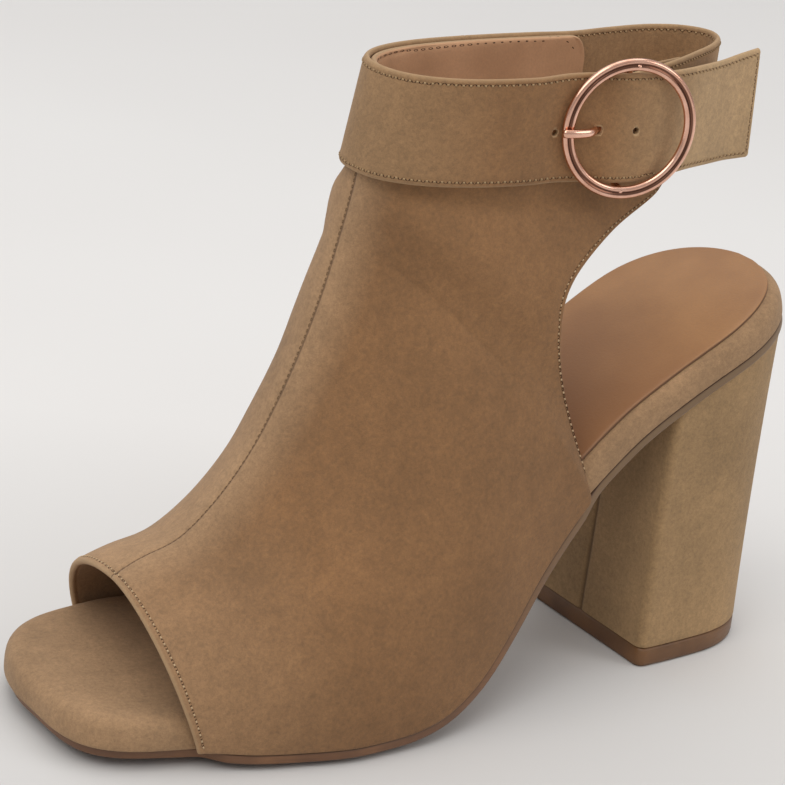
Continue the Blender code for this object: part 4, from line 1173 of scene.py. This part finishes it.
def footbed(surface):
    share, outer, inner = sole_outline(OUTLINE_POINTS)
    loops = []
    for edge in FINE_EDGE:
        rise = edge.rise * (FOOTBED_THICKNESS + GAP)
        sides = grown(share, outer, inner, np.full(len(share), -edge.inset))
        loops.append([rows(side, rise) for side in sides])
    made = stacked("footbed_wrap", loops, surface, FOOTBED_ACROSS, crown=0.0003)
    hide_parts("footbed")


def sock_lining(surface):
    even = np.linspace(0.0, 1.0, 70)
    run = 0.5 - 0.5 * np.cos(np.pi * even)
    back = SOCK_MARGIN / SOLE_LENGTH + 0.001
    share = back + (SOCK_FRONT_SHARE - 0.0005 - back) * run
    outer, inner = sock_plan(share)
    loops = []
    base = GAP + FOOTBED_THICKNESS
    levels = ((0.0, -0.0003), (0.0, 0.0), (0.0, 0.0004), (0.0002, 0.0007), (0.0009, 0.0009))
    for shrink, rise in levels:
        x = sole_x(share)
        pair = [(x, outer + shrink), (x, inner - shrink)]
        loops.append([rows(side, base + rise) for side in pair])
    made = stacked("sock_cover", loops, surface, SOLE_ACROSS)
    # Painted shade: the lowest loops carry a dark line at the sock's edge, for the gap against the footbed
    edge = np.zeros(len(made.data.vertices))
    size = 2 * len(share) + 2 * SOLE_ACROSS
    edge[: 3 * size] = 1.0
    paint(made, "edge", edge)
    # Painted shade: the sock is made darker towards the front, where the upper and strap shade it
    seat = np.array([v.co.x for v in made.data.vertices])
    paint(made, "painted_shade", ramp(seat, -0.012, -0.057))
    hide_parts("sock_lining")


def fine_heel_steps():
    corner = np.linspace(0.0, CORNER_STEPS, 9)
    side = np.linspace(CORNER_STEPS, SIDE_STEPS, 16)[1:]
    back = SIDE_STEPS + (LAST_STEP - SIDE_STEPS) * np.sin(np.linspace(0.0, math.pi / 2, 26))[1:]
    return np.concatenate([corner, side, back])


def closed_heel(name, loops, groove, surface):
    """A heel block from closed loops: the outer side, the inner side back, and the breast."""
    points = []
    marks = []
    for outer, inner in loops:
        points += list(outer) + list(inner[::-1])
        marks += [0.0] * (2 * len(outer))
        for s in BREAST_STATIONS:
            place = (inner[0] + outer[0]) / 2 + (inner[0] - outer[0]) / 2 * s
            deep = math.exp(-((s / 0.03) ** 2))
            points.append(place + np.array([groove * deep, 0.0, 0.0]))
            marks.append(deep if groove else 0.0)
    size = 2 * len(loops[0][0]) + len(BREAST_STATIONS)
    faces = ring_faces(len(loops), size)
    faces.append(tuple(range(size)))
    faces.append(tuple((len(loops) - 1) * size + i for i in range(size)))
    made = mesh_object(name, points, faces, surface)
    made.data.set_sharp_from_angle(angle=math.radians(50))
    # Painted shade in the groove of the breast's seam
    paint(made, "seam", marks)
    return made


def heel(surface):
    k = fine_heel_steps()
    low_x, low_half = tread_plan(k)
    low_z = HEEL_TIP_HEIGHT + GAP * 0.2
    breast = float(sole_share(BREAST_TOP_X))
    run = (low_x + TREAD_LENGTH / 2) / TREAD_LENGTH
    share = breast - (breast - HEEL_BACK_SHARE) * run
    out_y, in_y = sole_sides(share)
    corner_cut = HEEL_CORNER * (1 - np.sin(heel_corner(k)))
    top_x, top_z = sole_point(share, -(OUTSOLE_EDGE + GAP * 0.2))
    top_out = np.minimum(out_y + HEEL_TOP_INSET + corner_cut, -0.002)
    top_in = np.maximum(in_y - HEEL_TOP_INSET - corner_cut, 0.002)
    loops = []
    levels = [(0.0, 0.0006), (0.002, 0.0002), (0.006, 0.0)]
    levels += [(float(s), 0.0) for s in np.linspace(0.03, 1.0, 34)]
    for level, inset in levels:
        hollow = HEEL_HOLLOW * 4 * level * (1 - level) + inset
        x = low_x + (top_x - low_x) * level
        z = low_z + (top_z - low_z) * level
        outer = np.minimum(-low_half + (top_out + low_half) * level + hollow, -0.0005)
        inner = np.maximum(low_half + (top_in - low_half) * level - hollow, 0.0005)
        loops.append([np.stack([x, outer, z], axis=1), np.stack([x, inner, z], axis=1)])
    made = closed_heel("heel_cover", loops, BREAST_GROOVE, surface)
    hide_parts("heel")


def heel_tip(surface):
    x, half = tread_plan(fine_heel_steps())
    loops = []
    top = HEEL_TIP_HEIGHT
    for inset, z in (
        (0.0009, 0.0),
        (0.0004, 0.0002),
        (0.0001, 0.0007),
        (0.0, 0.0014),
        (0.0, top - 0.0009),
        (0.0002, top - 0.0003),
        (0.0007, top),
    ):
        scale = 1.0 - inset / (TREAD_WIDTH / 2)
        level = np.full(len(x), z)
        outer = np.stack([x * scale, -half * scale, level], axis=1)
        inner = np.stack([x * scale, half * scale, level], axis=1)
        loops.append([outer, inner])
    made = closed_heel("heel_top_piece", loops, 0.0, surface)
    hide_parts("heel_tip")


# Buckle
def rod(middle, half_in_plane, half_across, count):
    """Points and faces of a rod with rounded ends along points that lie in one plane."""
    middle = np.array(middle)
    ahead = unit(np.gradient(middle, axis=0))
    across = np.linalg.svd(middle - middle.mean(axis=0))[2][2]
    caps = []
    for at, sign in ((0, -1), (-1, 1)):
        cap = []
        for degrees in (30, 55, 80):
            angle = math.radians(degrees)
            point = middle[at] + sign * ahead[at] * half_in_plane * math.sin(angle)
            cap.append((point, ahead[at], math.cos(angle)))
        caps.append(cap)
    stations = caps[0][::-1] + [(point, way, 1.0) for point, way in zip(middle, ahead)] + caps[1]
    points = []
    for point, way, scale in stations:
        other = np.cross(way, across)
        for k in range(count):
            angle = 2 * math.pi * k / count
            ring = other * half_in_plane * math.cos(angle) + across * half_across * math.sin(angle)
            points.append(point + ring * scale)
    faces = ring_faces(len(stations), count)
    faces.append(tuple(range(count)))
    faces.append(tuple((len(stations) - 1) * count + k for k in range(count)))
    return points, faces


def buckle_ring(surface):
    profile = []
    outer_middle = RING_DIAMETER / 2 - TUBE_RADIUS
    for centre, first, last in ((outer_middle, -145, 145), (outer_middle - TUBE_SPACING, 35, 325)):
        for angle in np.radians(np.linspace(first, last, TUBE_POINTS)):
            profile.append((centre + TUBE_RADIUS * math.cos(angle), TUBE_RADIUS * math.sin(angle)))
    turns = 144
    size = len(profile)
    points = []
    for k in range(turns):
        angle = 2 * math.pi * k / turns
        for radius, out in profile:
            points.append(ring_place(radius * math.cos(angle), out, radius * math.sin(angle)))
    faces = ring_faces(turns, size, closed=True)
    top = [ring_place(0.0, out, BAR_HALF_HEIGHT + up) for out, up in BAR_PATH]
    bottom = [ring_place(0.0, out, -BAR_HALF_HEIGHT - up) for out, up in BAR_PATH[::-1]]
    knots = top + [ring_place(0.0, -BAR_SETBACK)] + bottom
    bar_points, bar_faces = rod(through(knots, 4), BAR_RADIUS, BAR_RADIUS, 16)
    faces += [tuple(len(points) + i for i in face) for face in bar_faces]
    made = mesh_object("buckle_hoop", points + bar_points, faces, surface)
    # Painted shade: the groove between the two tubes is coloured dark
    groove = [1.0 if i in SHADED_GROOVE_POINTS else 0.0 for i in range(size)] * turns
    paint(made, "seam", groove + [0.0] * len(bar_points))
    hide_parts("buckle_ring")


def buckle_prong(surface):
    middle = []
    for degrees in range(-190, 91, 20):
        angle = math.radians(degrees)
        along = PRONG_WRAP * math.cos(angle)
        out = -BAR_SETBACK + PRONG_WRAP * math.sin(angle)
        middle.append(ring_place(along, out, -PRONG_DROP))
    knots = [middle[-1]] + [ring_place(along, out, -PRONG_DROP) for along, out in PRONG_PATH]
    middle = np.concatenate([middle[:-1], through(knots, 5)])
    points, faces = rod(middle, PRONG_HALF_THICKNESS, PRONG_HALF_HEIGHT, 20)
    made = mesh_object("buckle_pin", points, faces, surface)
    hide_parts("buckle_prong")


# Sewing
def on_skin(skin, points):
    """The places and outward directions on a piece nearest to points just outside it."""
    found = [skin.find_nearest(Vector(p)) for p in points]
    places = np.array([tuple(place) for place, _, _, _ in found])
    normals = np.array([tuple(normal) for _, normal, _, _ in found])
    toward = points - places
    facing = np.sign((toward * normals).sum(axis=1))
    facing[facing == 0] = 1.0
    return places, normals * facing[:, None]


def thread_shape():
    """One stitch lying along its first axis: rows of six points, dipping at both ends."""
    points = []
    for along, girth, lift in (
        (-1.0, 0.35, -0.5),
        (-0.8, 0.8, 0.1),
        (-0.35, 1.0, 0.45),
        (0.35, 1.0, 0.45),
        (0.8, 0.8, 0.1),
        (1.0, 0.35, -0.5),
    ):
        for k in range(6):
            angle = 2 * math.pi * k / 6
            points.append((along, girth * math.cos(angle), lift + girth * 0.8 * math.sin(angle)))
    faces = ring_faces(6, 6)
    faces.append((5, 4, 3, 2, 1, 0))
    faces.append(tuple(30 + k for k in range(6)))
    return np.array(points), faces


def hole_shape():
    """One needle hole: a small dished disc, coloured dark as painted shade in the hole."""
    points = [(0.0, 0.0, -0.15)]
    points += [(math.cos(a), math.sin(a), 0.12) for a in np.arange(8) * math.pi / 4]
    return np.array(points), [(0, 1 + k, 1 + (k + 1) % 8) for k in range(8)]


def copies(shape, places, ahead, normals, length, width, height):
    """Copies of a small shape laid along directions on a skin."""
    base, base_faces = shape
    points = []
    faces = []
    for place, way, normal in zip(places, ahead, normals):
        side = np.cross(normal, way)
        side /= max(np.linalg.norm(side), 1e-9)
        way = np.cross(side, normal)
        start = len(points)
        flat = base[:, :1] * length * way + base[:, 1:2] * width * side
        points += list(place + flat + base[:, 2:] * height * normal)
        faces += [tuple(start + i for i in face) for face in base_faces]
    return points, faces


def sew(name, skin, lines, stitch, thread, hole):
    """Runs of small stitches along lines on a piece, with a needle hole between each two, a dark disc of
    painted shade.
    """
    kinds = [("holes", 0.0, hole_shape(), (stitch.hole_length, stitch.hole_width, HOLE_DEPTH), hole)]
    if stitch.thread_length:
        size = (stitch.thread_length, stitch.thread_width, stitch.thread_width)
        kinds.append(("thread", 0.5, thread_shape(), size, thread))
    for kind, shift, shape, size, surface in kinds:
        stock = []
        stock_faces = []
        for line in lines:
            run = run_along(line)
            count = max(int(round(run[-1] / stitch.pitch)), 1)
            place = (np.arange(count) + shift) * run[-1] / count
            points = taken_at(place, run, line)
            ahead = unit(np.gradient(points, axis=0))
            places, normals = on_skin(skin, points)
            made, faces = copies(shape, places, ahead, normals, *size)
            start = len(stock)
            stock += made
            stock_faces += [tuple(start + i for i in face) for face in faces]
        made = mesh_object(f"{name}_{kind}", stock, stock_faces, surface)


def band_rows_on(low, high, half, side):
    """Stitch lines just outside one face of a band: its two long edges and its far end."""
    square = plan_normals((low + high) / 2)
    run = run_along((low + high) / 2)
    up = unit(high - low)
    out = square * side * (half + BAND_SEWING_LIFT)
    kept = (run > BAND_ROW) & (run < run[-1] - BAND_ROW)
    bottom = (low + up * BAND_ROW + out)[kept]
    top = (high - up * BAND_ROW + out)[kept]
    share = np.linspace(0.0, 1.0, 30)[1:-1, None]
    end = bottom[-1] + (top[-1] - bottom[-1]) * share
    return np.concatenate([bottom, end, top[::-1]])


def edge_row(side, start, stop):
    """Stitch line of the upper's free back edge."""
    line = []
    for at in np.linspace(start, stop, ROW_POINTS):
        controls = section_controls(at, side)
        turns = np.linspace(0.6, 1.0, 121)
        run = run_along(bezier(controls, turns))
        line.append(bezier(controls, [np.interp(run[-1] - UPPER_ROW, run, turns)])[0])
    return np.array(line)


def toe_row():
    at = UPPER_ROW / TOE_SPAN
    turns = np.linspace(0.0, 0.985, ROW_POINTS)
    inner = bezier(section_controls(at, 1), turns[::-1])
    outer = bezier(section_controls(at, -1), turns)
    return np.concatenate([inner, outer[1:]])


def seam_row():
    """The seam's line down the front, from near the toe's rim to the cuff."""
    return np.array([section_controls(at, 1)[0] for at in np.linspace(0.25, CUFF_ROW - 0.1, 160)])


def collar_row(side):
    """Stitch line inside the collar's rim, and on the inner side round the tab's corner."""
    line = []
    height = COLLAR_SPAN - UPPER_ROW
    corner = INNER_CORNER - UPPER_ROW
    at = CUFF_ROW + height / COLLAR_SPAN
    last = 1.0 - (UPPER_ROW + (corner if side > 0 else 0.0)) / COLLAR_REACH
    line += list(bezier(section_controls(at, side), np.linspace(0.0, last, ROW_POINTS)))
    if side > 0:
        for degrees in np.linspace(90, 0, 14)[1:]:
            angle = math.radians(degrees)
            h = height - corner + corner * math.sin(angle)
            t = 1.0 - (UPPER_ROW + corner * (1 - math.cos(angle))) / COLLAR_REACH
            line += list(bezier(section_controls(CUFF_ROW + h / COLLAR_SPAN, side), [t]))
    return np.array(line)


# Materials
def add(tree, kind, **settings):
    node = tree.nodes.new(kind)
    for name, value in settings.items():
        setattr(node, name, value)
    return node


def plug(tree, value, socket):
    if isinstance(value, bpy.types.NodeSocket):
        tree.links.new(value, socket)
    elif isinstance(value, tuple):
        socket.default_value = (*value, 1.0)
    else:
        socket.default_value = value


def start_material(name, roughness, **settings):
    made = bpy.data.materials.new(name)
    made.use_nodes = True
    tree = made.node_tree
    shader = tree.nodes["Principled BSDF"]
    shader.inputs["Roughness"].default_value = roughness
    for key, value in settings.items():
        plug(tree, value, shader.inputs[key.replace("_", " ")])
    place = add(tree, "ShaderNodeTexCoord").outputs["Object"]
    return made, tree, shader, place


def noise(tree, place, scale, detail, roughness):
    node = add(tree, "ShaderNodeTexNoise")
    plug(tree, place, node.inputs["Vector"])
    node.inputs["Scale"].default_value = scale
    node.inputs["Detail"].default_value = detail
    node.inputs["Roughness"].default_value = roughness
    return node.outputs["Fac"]


def stretched(tree, place, scale):
    node = add(tree, "ShaderNodeMapping")
    plug(tree, place, node.inputs["Vector"])
    node.inputs["Scale"].default_value = scale
    return node.outputs["Vector"]


def ranged(tree, value, low, high, to_low=0.0, to_high=1.0):
    node = add(tree, "ShaderNodeMapRange")
    plug(tree, value, node.inputs["Value"])
    for key, number in (("From Min", low), ("From Max", high), ("To Min", to_low), ("To Max", to_high)):
        node.inputs[key].default_value = number
    return node.outputs["Result"]


def mixed(tree, factor, first, second, kind="MIX"):
    node = add(tree, "ShaderNodeMix", data_type="RGBA", blend_type=kind)
    plug(tree, factor, node.inputs[0])
    plug(tree, first, node.inputs[6])
    plug(tree, second, node.inputs[7])
    return node.outputs[2]


def figured(tree, operation, first, second):
    node = add(tree, "ShaderNodeMath", operation=operation)
    plug(tree, first, node.inputs[0])
    plug(tree, second, node.inputs[1])
    return node.outputs[0]


def marked(tree, name):
    return add(tree, "ShaderNodeAttribute", attribute_name=name).outputs["Fac"]


def clouded(tree, clouds, fine, deep, colour, darkest, lightest):
    """Two tones mixed by soft clouds, then varied a little by a fine pattern."""
    tone = mixed(tree, ranged(tree, clouds, 0.35, 0.65), deep, colour)
    return mixed(tree, 1.0, tone, ranged(tree, fine, 0.3, 0.7, darkest, lightest), "MULTIPLY")


def finished(tree, shader, colour, roughness=None, height=None, depth=0.0):
    """Joins the colour to the shader, and where they are given the roughness and the bumps."""
    tree.links.new(colour, shader.inputs["Base Color"])
    if roughness:
        tree.links.new(roughness, shader.inputs["Roughness"])
    if height:
        node = add(tree, "ShaderNodeBump")
        node.inputs["Strength"].default_value = 1.0
        node.inputs["Distance"].default_value = depth
        plug(tree, height, node.inputs["Height"])
        tree.links.new(node.outputs["Normal"], shader.inputs["Normal"])


def suede(name, pale, painted_shade, edge_wear_and_sheen, marks=("painted_shade", "edge", "seam")):
    """Suede: soft clouds where the nap lies another way, fine fibres, lighter edges that are partly wear and
    partly painted sheen, painted shade where less light falls and in a seam's groove.
    """
    made, tree, shader, place = start_material(
        name, 0.92, Sheen_Weight=0.10, Sheen_Roughness=0.45, Sheen_Tint=(1.0, 0.86, 0.70)
    )
    clouds = noise(tree, place, 22.0, 3.0, 0.5)
    drift = noise(tree, stretched(tree, place, (1.0, 1.3, 0.6)), 62.0, 4.0, 0.6)
    mottle = noise(tree, place, 330.0, 4.0, 0.65)
    nap = noise(tree, place, 1000.0, 4.0, 0.65)
    fibre = noise(tree, place, 3400.0, 3.0, 0.7)
    colour = pale
    # Painted shade: mixed towards the darker colour where the mark says less light falls
    if "painted_shade" in marks:
        colour = mixed(tree, marked(tree, "painted_shade"), pale, painted_shade)
    lay = ranged(tree, clouds, 0.32, 0.68, 0.87, 1.13)
    lay = figured(tree, "ADD", lay, ranged(tree, drift, 0.30, 0.70, -0.07, 0.07))
    lay = figured(tree, "ADD", lay, ranged(tree, mottle, 0.30, 0.70, -0.09, 0.09))
    colour = mixed(tree, 1.0, colour, lay, "MULTIPLY")
    grain = ranged(tree, nap, 0.3, 0.7, 0.82, 1.14)
    grain = figured(tree, "ADD", grain, ranged(tree, fibre, 0.3, 0.7, -0.12, 0.11))
    colour = mixed(tree, 1.0, colour, grain, "MULTIPLY")
    # Lighter edges: partly wear, partly painted sheen
    if "edge" in marks:
        share = ranged(tree, marked(tree, "edge"), 0.25, 1.0, 0.0, 0.60)
        colour = mixed(tree, share, colour, edge_wear_and_sheen)
    # Painted shade in a seam's groove
    if "seam" in marks:
        share = ranged(tree, marked(tree, "seam"), 0.2, 1.0, 0.0, 0.66)
        colour = mixed(tree, share, colour, (0.05, 0.024, 0.012))
    roughness = ranged(tree, nap, 0.3, 0.7, 0.84, 0.98)
    height = figured(tree, "ADD", figured(tree, "MULTIPLY", nap, 0.6), figured(tree, "MULTIPLY", fibre, 0.5))
    finished(tree, shader, colour, roughness, height, 0.00018)
    return made


def smooth_leather(name, colour, deep, roughness, coat=0.15, rim=None, shade=None):
    """Smooth leather: fine pores, slight clouding and a satin finish; where a rim colour is given, painted
    shade where marked and a dark line painted as shade at the marked edge.
    """
    made, tree, shader, place = start_material(name, roughness, Coat_Weight=coat, Coat_Roughness=0.45)
    clouds = noise(tree, place, 60.0, 3.0, 0.5)
    pores = noise(tree, place, 1500.0, 3.0, 0.6)
    tone = clouded(tree, clouds, pores, deep, colour, 0.93, 1.05)
    if rim:
        # Painted shade where marked
        tone = mixed(tree, marked(tree, "painted_shade"), tone, shade)
        # Painted shade: a dark line at the marked edge
        tone = mixed(tree, ranged(tree, marked(tree, "edge"), 0.3, 1.0, 0.0, 0.85), tone, rim)
    dullness = ranged(tree, pores, 0.3, 0.7, roughness - 0.06, roughness + 0.08)
    finished(tree, shader, tone, dullness, pores, 0.00006)
    return made


def stacked_edge(name, colour, deep, arch, line):
    """Pressed sole edge: a dark line at the top that is painted shadow of the gap under the footbed, a
    browner band and fine streaks along it.
    """
    made, tree, shader, place = start_material(name, 0.5, Coat_Weight=0.10, Coat_Roughness=0.4)
    clouds = noise(tree, place, 90.0, 3.0, 0.5)
    streaks = noise(tree, stretched(tree, place, (0.25, 0.25, 4.0)), 420.0, 3.0, 0.6)
    tone = clouded(tree, clouds, streaks, deep, colour, 0.86, 1.08)
    split = add(tree, "ShaderNodeSeparateXYZ")
    tree.links.new(place, split.inputs[0])
    tone = mixed(tree, ranged(tree, split.outputs["X"], -0.085, -0.045), tone, arch)
    # Painted shadow: a dark line at the top of the edge
    tone = mixed(tree, ranged(tree, marked(tree, "depth"), 0.02, 0.16, 1.0, 0.0), tone, line)
    finished(tree, shader, tone, ranged(tree, clouds, 0.3, 0.7, 0.42, 0.58), streaks, 0.00006)
    return made


def top_rubber(name, colour, deep):
    made, tree, shader, place = start_material(name, 0.48, Coat_Weight=0.12, Coat_Roughness=0.35)
    clouds = noise(tree, place, 110.0, 3.0, 0.5)
    grit = noise(tree, place, 2200.0, 2.0, 0.6)
    tone = clouded(tree, clouds, grit, deep, colour, 0.90, 1.06)
    finished(tree, shader, tone, ranged(tree, grit, 0.3, 0.7, 0.40, 0.56), grit, 0.00005)
    return made


def polished(name, colour, deep):
    made, tree, shader, place = start_material(name, 0.18, Metallic=1.0)
    haze = noise(tree, place, 240.0, 3.0, 0.5)
    scuffs = noise(tree, stretched(tree, place, (1.0, 1.0, 6.0)), 1400.0, 2.0, 0.6)
    tone = mixed(tree, ranged(tree, haze, 0.3, 0.7), deep, colour)
    # Painted shade in the ring's groove, from the marked points
    groove_shade = ranged(tree, marked(tree, "seam"), 0.1, 0.9, 0.0, 0.9)
    tone = mixed(tree, groove_shade, tone, (0.10, 0.035, 0.018))
    finished(tree, shader, tone, ranged(tree, scuffs, 0.3, 0.7, 0.14, 0.24))
    return made


def sewing_thread(name, colour, deep):
    made, tree, shader, place = start_material(name, 0.85, Specular_IOR_Level=0.2)
    ply = noise(tree, place, 2600.0, 2.0, 0.6)
    tone = mixed(tree, ranged(tree, ply, 0.3, 0.7), deep, colour)
    finished(tree, shader, tone, height=ply, depth=0.00005)
    return made


# Floor, light and camera
def backdrop():
    made, tree, shader, place = start_material("backdrop_paper", 0.9)
    soft = noise(tree, place, 3.0, 2.0, 0.5)
    tone = mixed(tree, ranged(tree, soft, 0.3, 0.7), (0.80, 0.785, 0.775), (0.83, 0.82, 0.81))
    # Painted shade: the floor is made darker near the camera, as if less light reached it
    away = add(tree, "ShaderNodeVectorMath", operation="DISTANCE")
    tree.links.new(place, away.inputs[0])
    away.inputs[1].default_value = FLOOR_NEAR
    painted_falloff = ranged(tree, away.outputs["Value"], 0.60, 0.85, 0.77, 0.95)
    finished(tree, shader, mixed(tree, 1.0, tone, painted_falloff, "MULTIPLY"))
    radii = (0.0001, 0.3, 0.8, 1.6, 3.0, 5.0)
    angles = np.arange(FLOOR_SIDES) * 2 * math.pi / FLOOR_SIDES
    points = [(r * math.cos(a) + FLOOR_X, r * math.sin(a), FLOOR_Z) for r in radii for a in angles]
    faces = ring_faces(len(radii), FLOOR_SIDES)
    faces.append(tuple(range(FLOOR_SIDES))[::-1])
    mesh = closed_mesh("backdrop_floor", points, faces)
    mesh.materials.append(made)
    floor = linked("backdrop_floor", mesh)


def area_light(name, place, aim, size, power, colour):
    lamp = bpy.data.lights.new(name, "AREA")
    lamp.shape = "DISK"
    lamp.size = size
    lamp.energy = power
    lamp.color = colour
    made = linked(name, lamp)
    made.location = place
    made.rotation_euler = (Vector(aim) - Vector(place)).to_track_quat("-Z", "Y").to_euler()


def lights():
    world = bpy.data.worlds.new("studio")
    world.use_nodes = True
    tree = world.node_tree
    sky = tree.nodes["Background"]
    split = add(tree, "ShaderNodeSeparateXYZ")
    tree.links.new(add(tree, "ShaderNodeTexCoord").outputs["Generated"], split.inputs[0])
    height = ranged(tree, split.outputs["Z"], 0.0, 0.9)
    tree.links.new(mixed(tree, height, (0.46, 0.455, 0.45), (0.78, 0.775, 0.77)), sky.inputs["Color"])
    sky.inputs["Strength"].default_value = 0.85
    bpy.context.scene.world = world
    middle = (-0.09, 0.0, 0.06)
    area_light("key", (-0.95, -0.35, 1.25), middle, 1.4, 9.5, (1.0, 0.985, 0.96))
    area_light("top", (0.10, 0.25, 1.60), middle, 1.7, 7.5, (1.0, 0.99, 0.98))
    area_light("side", (0.75, -0.95, 0.75), middle, 0.7, 2.5, (1.0, 0.98, 0.96))


def camera():
    yaw, pitch, roll = CAMERA_YAW, CAMERA_PITCH, CAMERA_ROLL
    ahead = Vector((math.sin(yaw) * math.cos(pitch), math.cos(yaw) * math.cos(pitch), -math.sin(pitch)))
    right = Vector((math.cos(yaw), -math.sin(yaw), 0.0))
    up = right.cross(ahead)
    turned_right = right * math.cos(roll) + up * math.sin(roll)
    turned_up = up * math.cos(roll) - right * math.sin(roll)
    lens = bpy.data.cameras.new("camera")
    lens.lens = CAMERA_LENS
    lens.sensor_width = SENSOR_WIDTH
    lens.clip_start = 0.01
    lens.clip_end = 50.0
    made = linked("camera", lens)
    turn = Matrix((turned_right, turned_up, -ahead)).transposed().to_4x4()
    made.matrix_world = Matrix.Translation(CAMERA_PLACE) @ turn
    bpy.context.scene.camera = made


def dress():
    pale = (0.372, 0.228, 0.122)
    # Colour of the painted shade on the suede, where less light falls
    painted_shade = (0.242, 0.123, 0.051)
    olive = (0.460, 0.304, 0.162)
    # Colour of the lighter edges: partly wear, partly painted sheen
    worn_and_sheen = (0.450, 0.300, 0.165)
    upper_suede = suede("dressed_upper_suede", pale, painted_shade, worn_and_sheen)
    band_suede = suede("dressed_band_suede", olive, painted_shade, worn_and_sheen, ("painted_shade", "edge"))
    wrap = suede("dressed_footbed_suede", (0.350, 0.213, 0.112), painted_shade, worn_and_sheen, ())
    cover = suede("dressed_heel_suede", (0.376, 0.236, 0.114), painted_shade, worn_and_sheen, ("seam",))
    lining = smooth_leather("dressed_lining", (0.57, 0.325, 0.180), (0.46, 0.255, 0.136), 0.75, 0.0)
    # Colour of the dark line painted as shade round the sock's edge
    rim = (0.130, 0.060, 0.028)
    # Colour of the painted shade on the sock
    shade = (0.250, 0.105, 0.036)
    tan = (0.400, 0.196, 0.074)
    sock = smooth_leather("dressed_sock", tan, (0.340, 0.160, 0.058), 0.50, rim=rim, shade=shade)
    arch = (0.190, 0.112, 0.052)
    # Colour of the painted shadow at the top of the sole's edge
    line = (0.095, 0.047, 0.024)
    edge = stacked_edge("dressed_sole_edge", (0.215, 0.100, 0.043), (0.150, 0.066, 0.028), arch, line)
    tip = top_rubber("dressed_tip", (0.180, 0.080, 0.026), (0.128, 0.055, 0.018))
    metal = polished("dressed_rose_gold", (0.90, 0.55, 0.42), (0.74, 0.40, 0.28))
    thread = sewing_thread("dressed_thread", (0.58, 0.43, 0.27), (0.44, 0.31, 0.18))
    band_thread = sewing_thread("dressed_band_thread", (0.42, 0.29, 0.16), (0.32, 0.21, 0.11))
    # Dark discs laid at the needle holes, as painted shade in each hole
    hole = sewing_thread("dressed_needle_hole_shade", (0.070, 0.033, 0.017), (0.042, 0.019, 0.010))

    skin = skin_of(upper(upper_suede, lining))
    backs = [edge_row(side, LAST_ON_SOLE + 0.25, CUFF_ROW - 0.1) for side in (-1, 1)]
    middle = np.array([-0.10, 0.0, 0.06])
    outward = [line + SEWING_LIFT * unit(line - middle) for line in [toe_row()] + backs]
    sew("upper_sewing", skin, outward, RIM_STITCH, thread, hole)
    front = seam_row() + np.array([-SEWING_LIFT, 0.0, SEWING_LIFT])
    sew("seam_sewing", skin, [front], SEAM_HOLE, thread, hole)
    axis = np.array([-0.085, 0.0, 0.0])
    rims = []
    for side in (1, -1):
        line = collar_row(side)
        outward = unit((line - axis) * np.array([1.0, 1.0, 0.0]))
        rims.append(line - outward * (UPPER_WALL + SEWING_LIFT))
    sew("collar_sewing", skin, rims, COLLAR_STITCH, band_thread, hole)

    low, high = cuff_lines()
    cuff = band("cuff_cover", low, high, CUFF_WALL, band_suede, "cuff_band")
    pinch(cuff)
    slot = (SEEN_SLOT_HALF_LENGTH, SEEN_SLOT_HALF_HEIGHT, *CUFF_SLOT_DEPTHS, SLOT_SQUARENESS)
    posts = [cutter(SEEN_SLOT_SHIFT - SLOT_FROM_BAR, -PRONG_DROP, *slot)]
    posts += [cutter(along, up, PIN_RADIUS, PIN_RADIUS, *PIN_DEPTHS) for along, up in PIN_PLACES]
    punch(cuff, posts)
    cuff_rows = [band_rows_on(low, high, CUFF_WALL / 2, 1)]
    sew("cuff_sewing", skin_of(cuff), cuff_rows, BAND_STITCH, band_thread, hole)

    low, high = strap_lines()
    strap = band("strap_cover", low, high, STRAP_WALL, band_suede, "heel_strap")
    slot = (STRAP_SLOT_HALF_LENGTH, SLOT_HALF_HEIGHT, *STRAP_SLOT_DEPTHS, SLOT_SQUARENESS)
    punch(strap, [cutter(0.0, -PRONG_DROP, *slot)])
    low, high = low[:-FOLD_STEPS], high[:-FOLD_STEPS]
    strap_rows = [band_rows_on(low, high, STRAP_WALL / 2, side) for side in (1, -1)]
    sew("strap_sewing", skin_of(strap), strap_rows, BAND_STITCH, band_thread, hole)

    outsole(edge)
    footbed(wrap)
    sock_lining(sock)
    heel(cover)
    heel_tip(tip)
    buckle_ring(metal)
    buckle_prong(metal)


dress()
backdrop()
lights()
camera()
bpy.context.scene.view_settings.view_transform = "Standard"
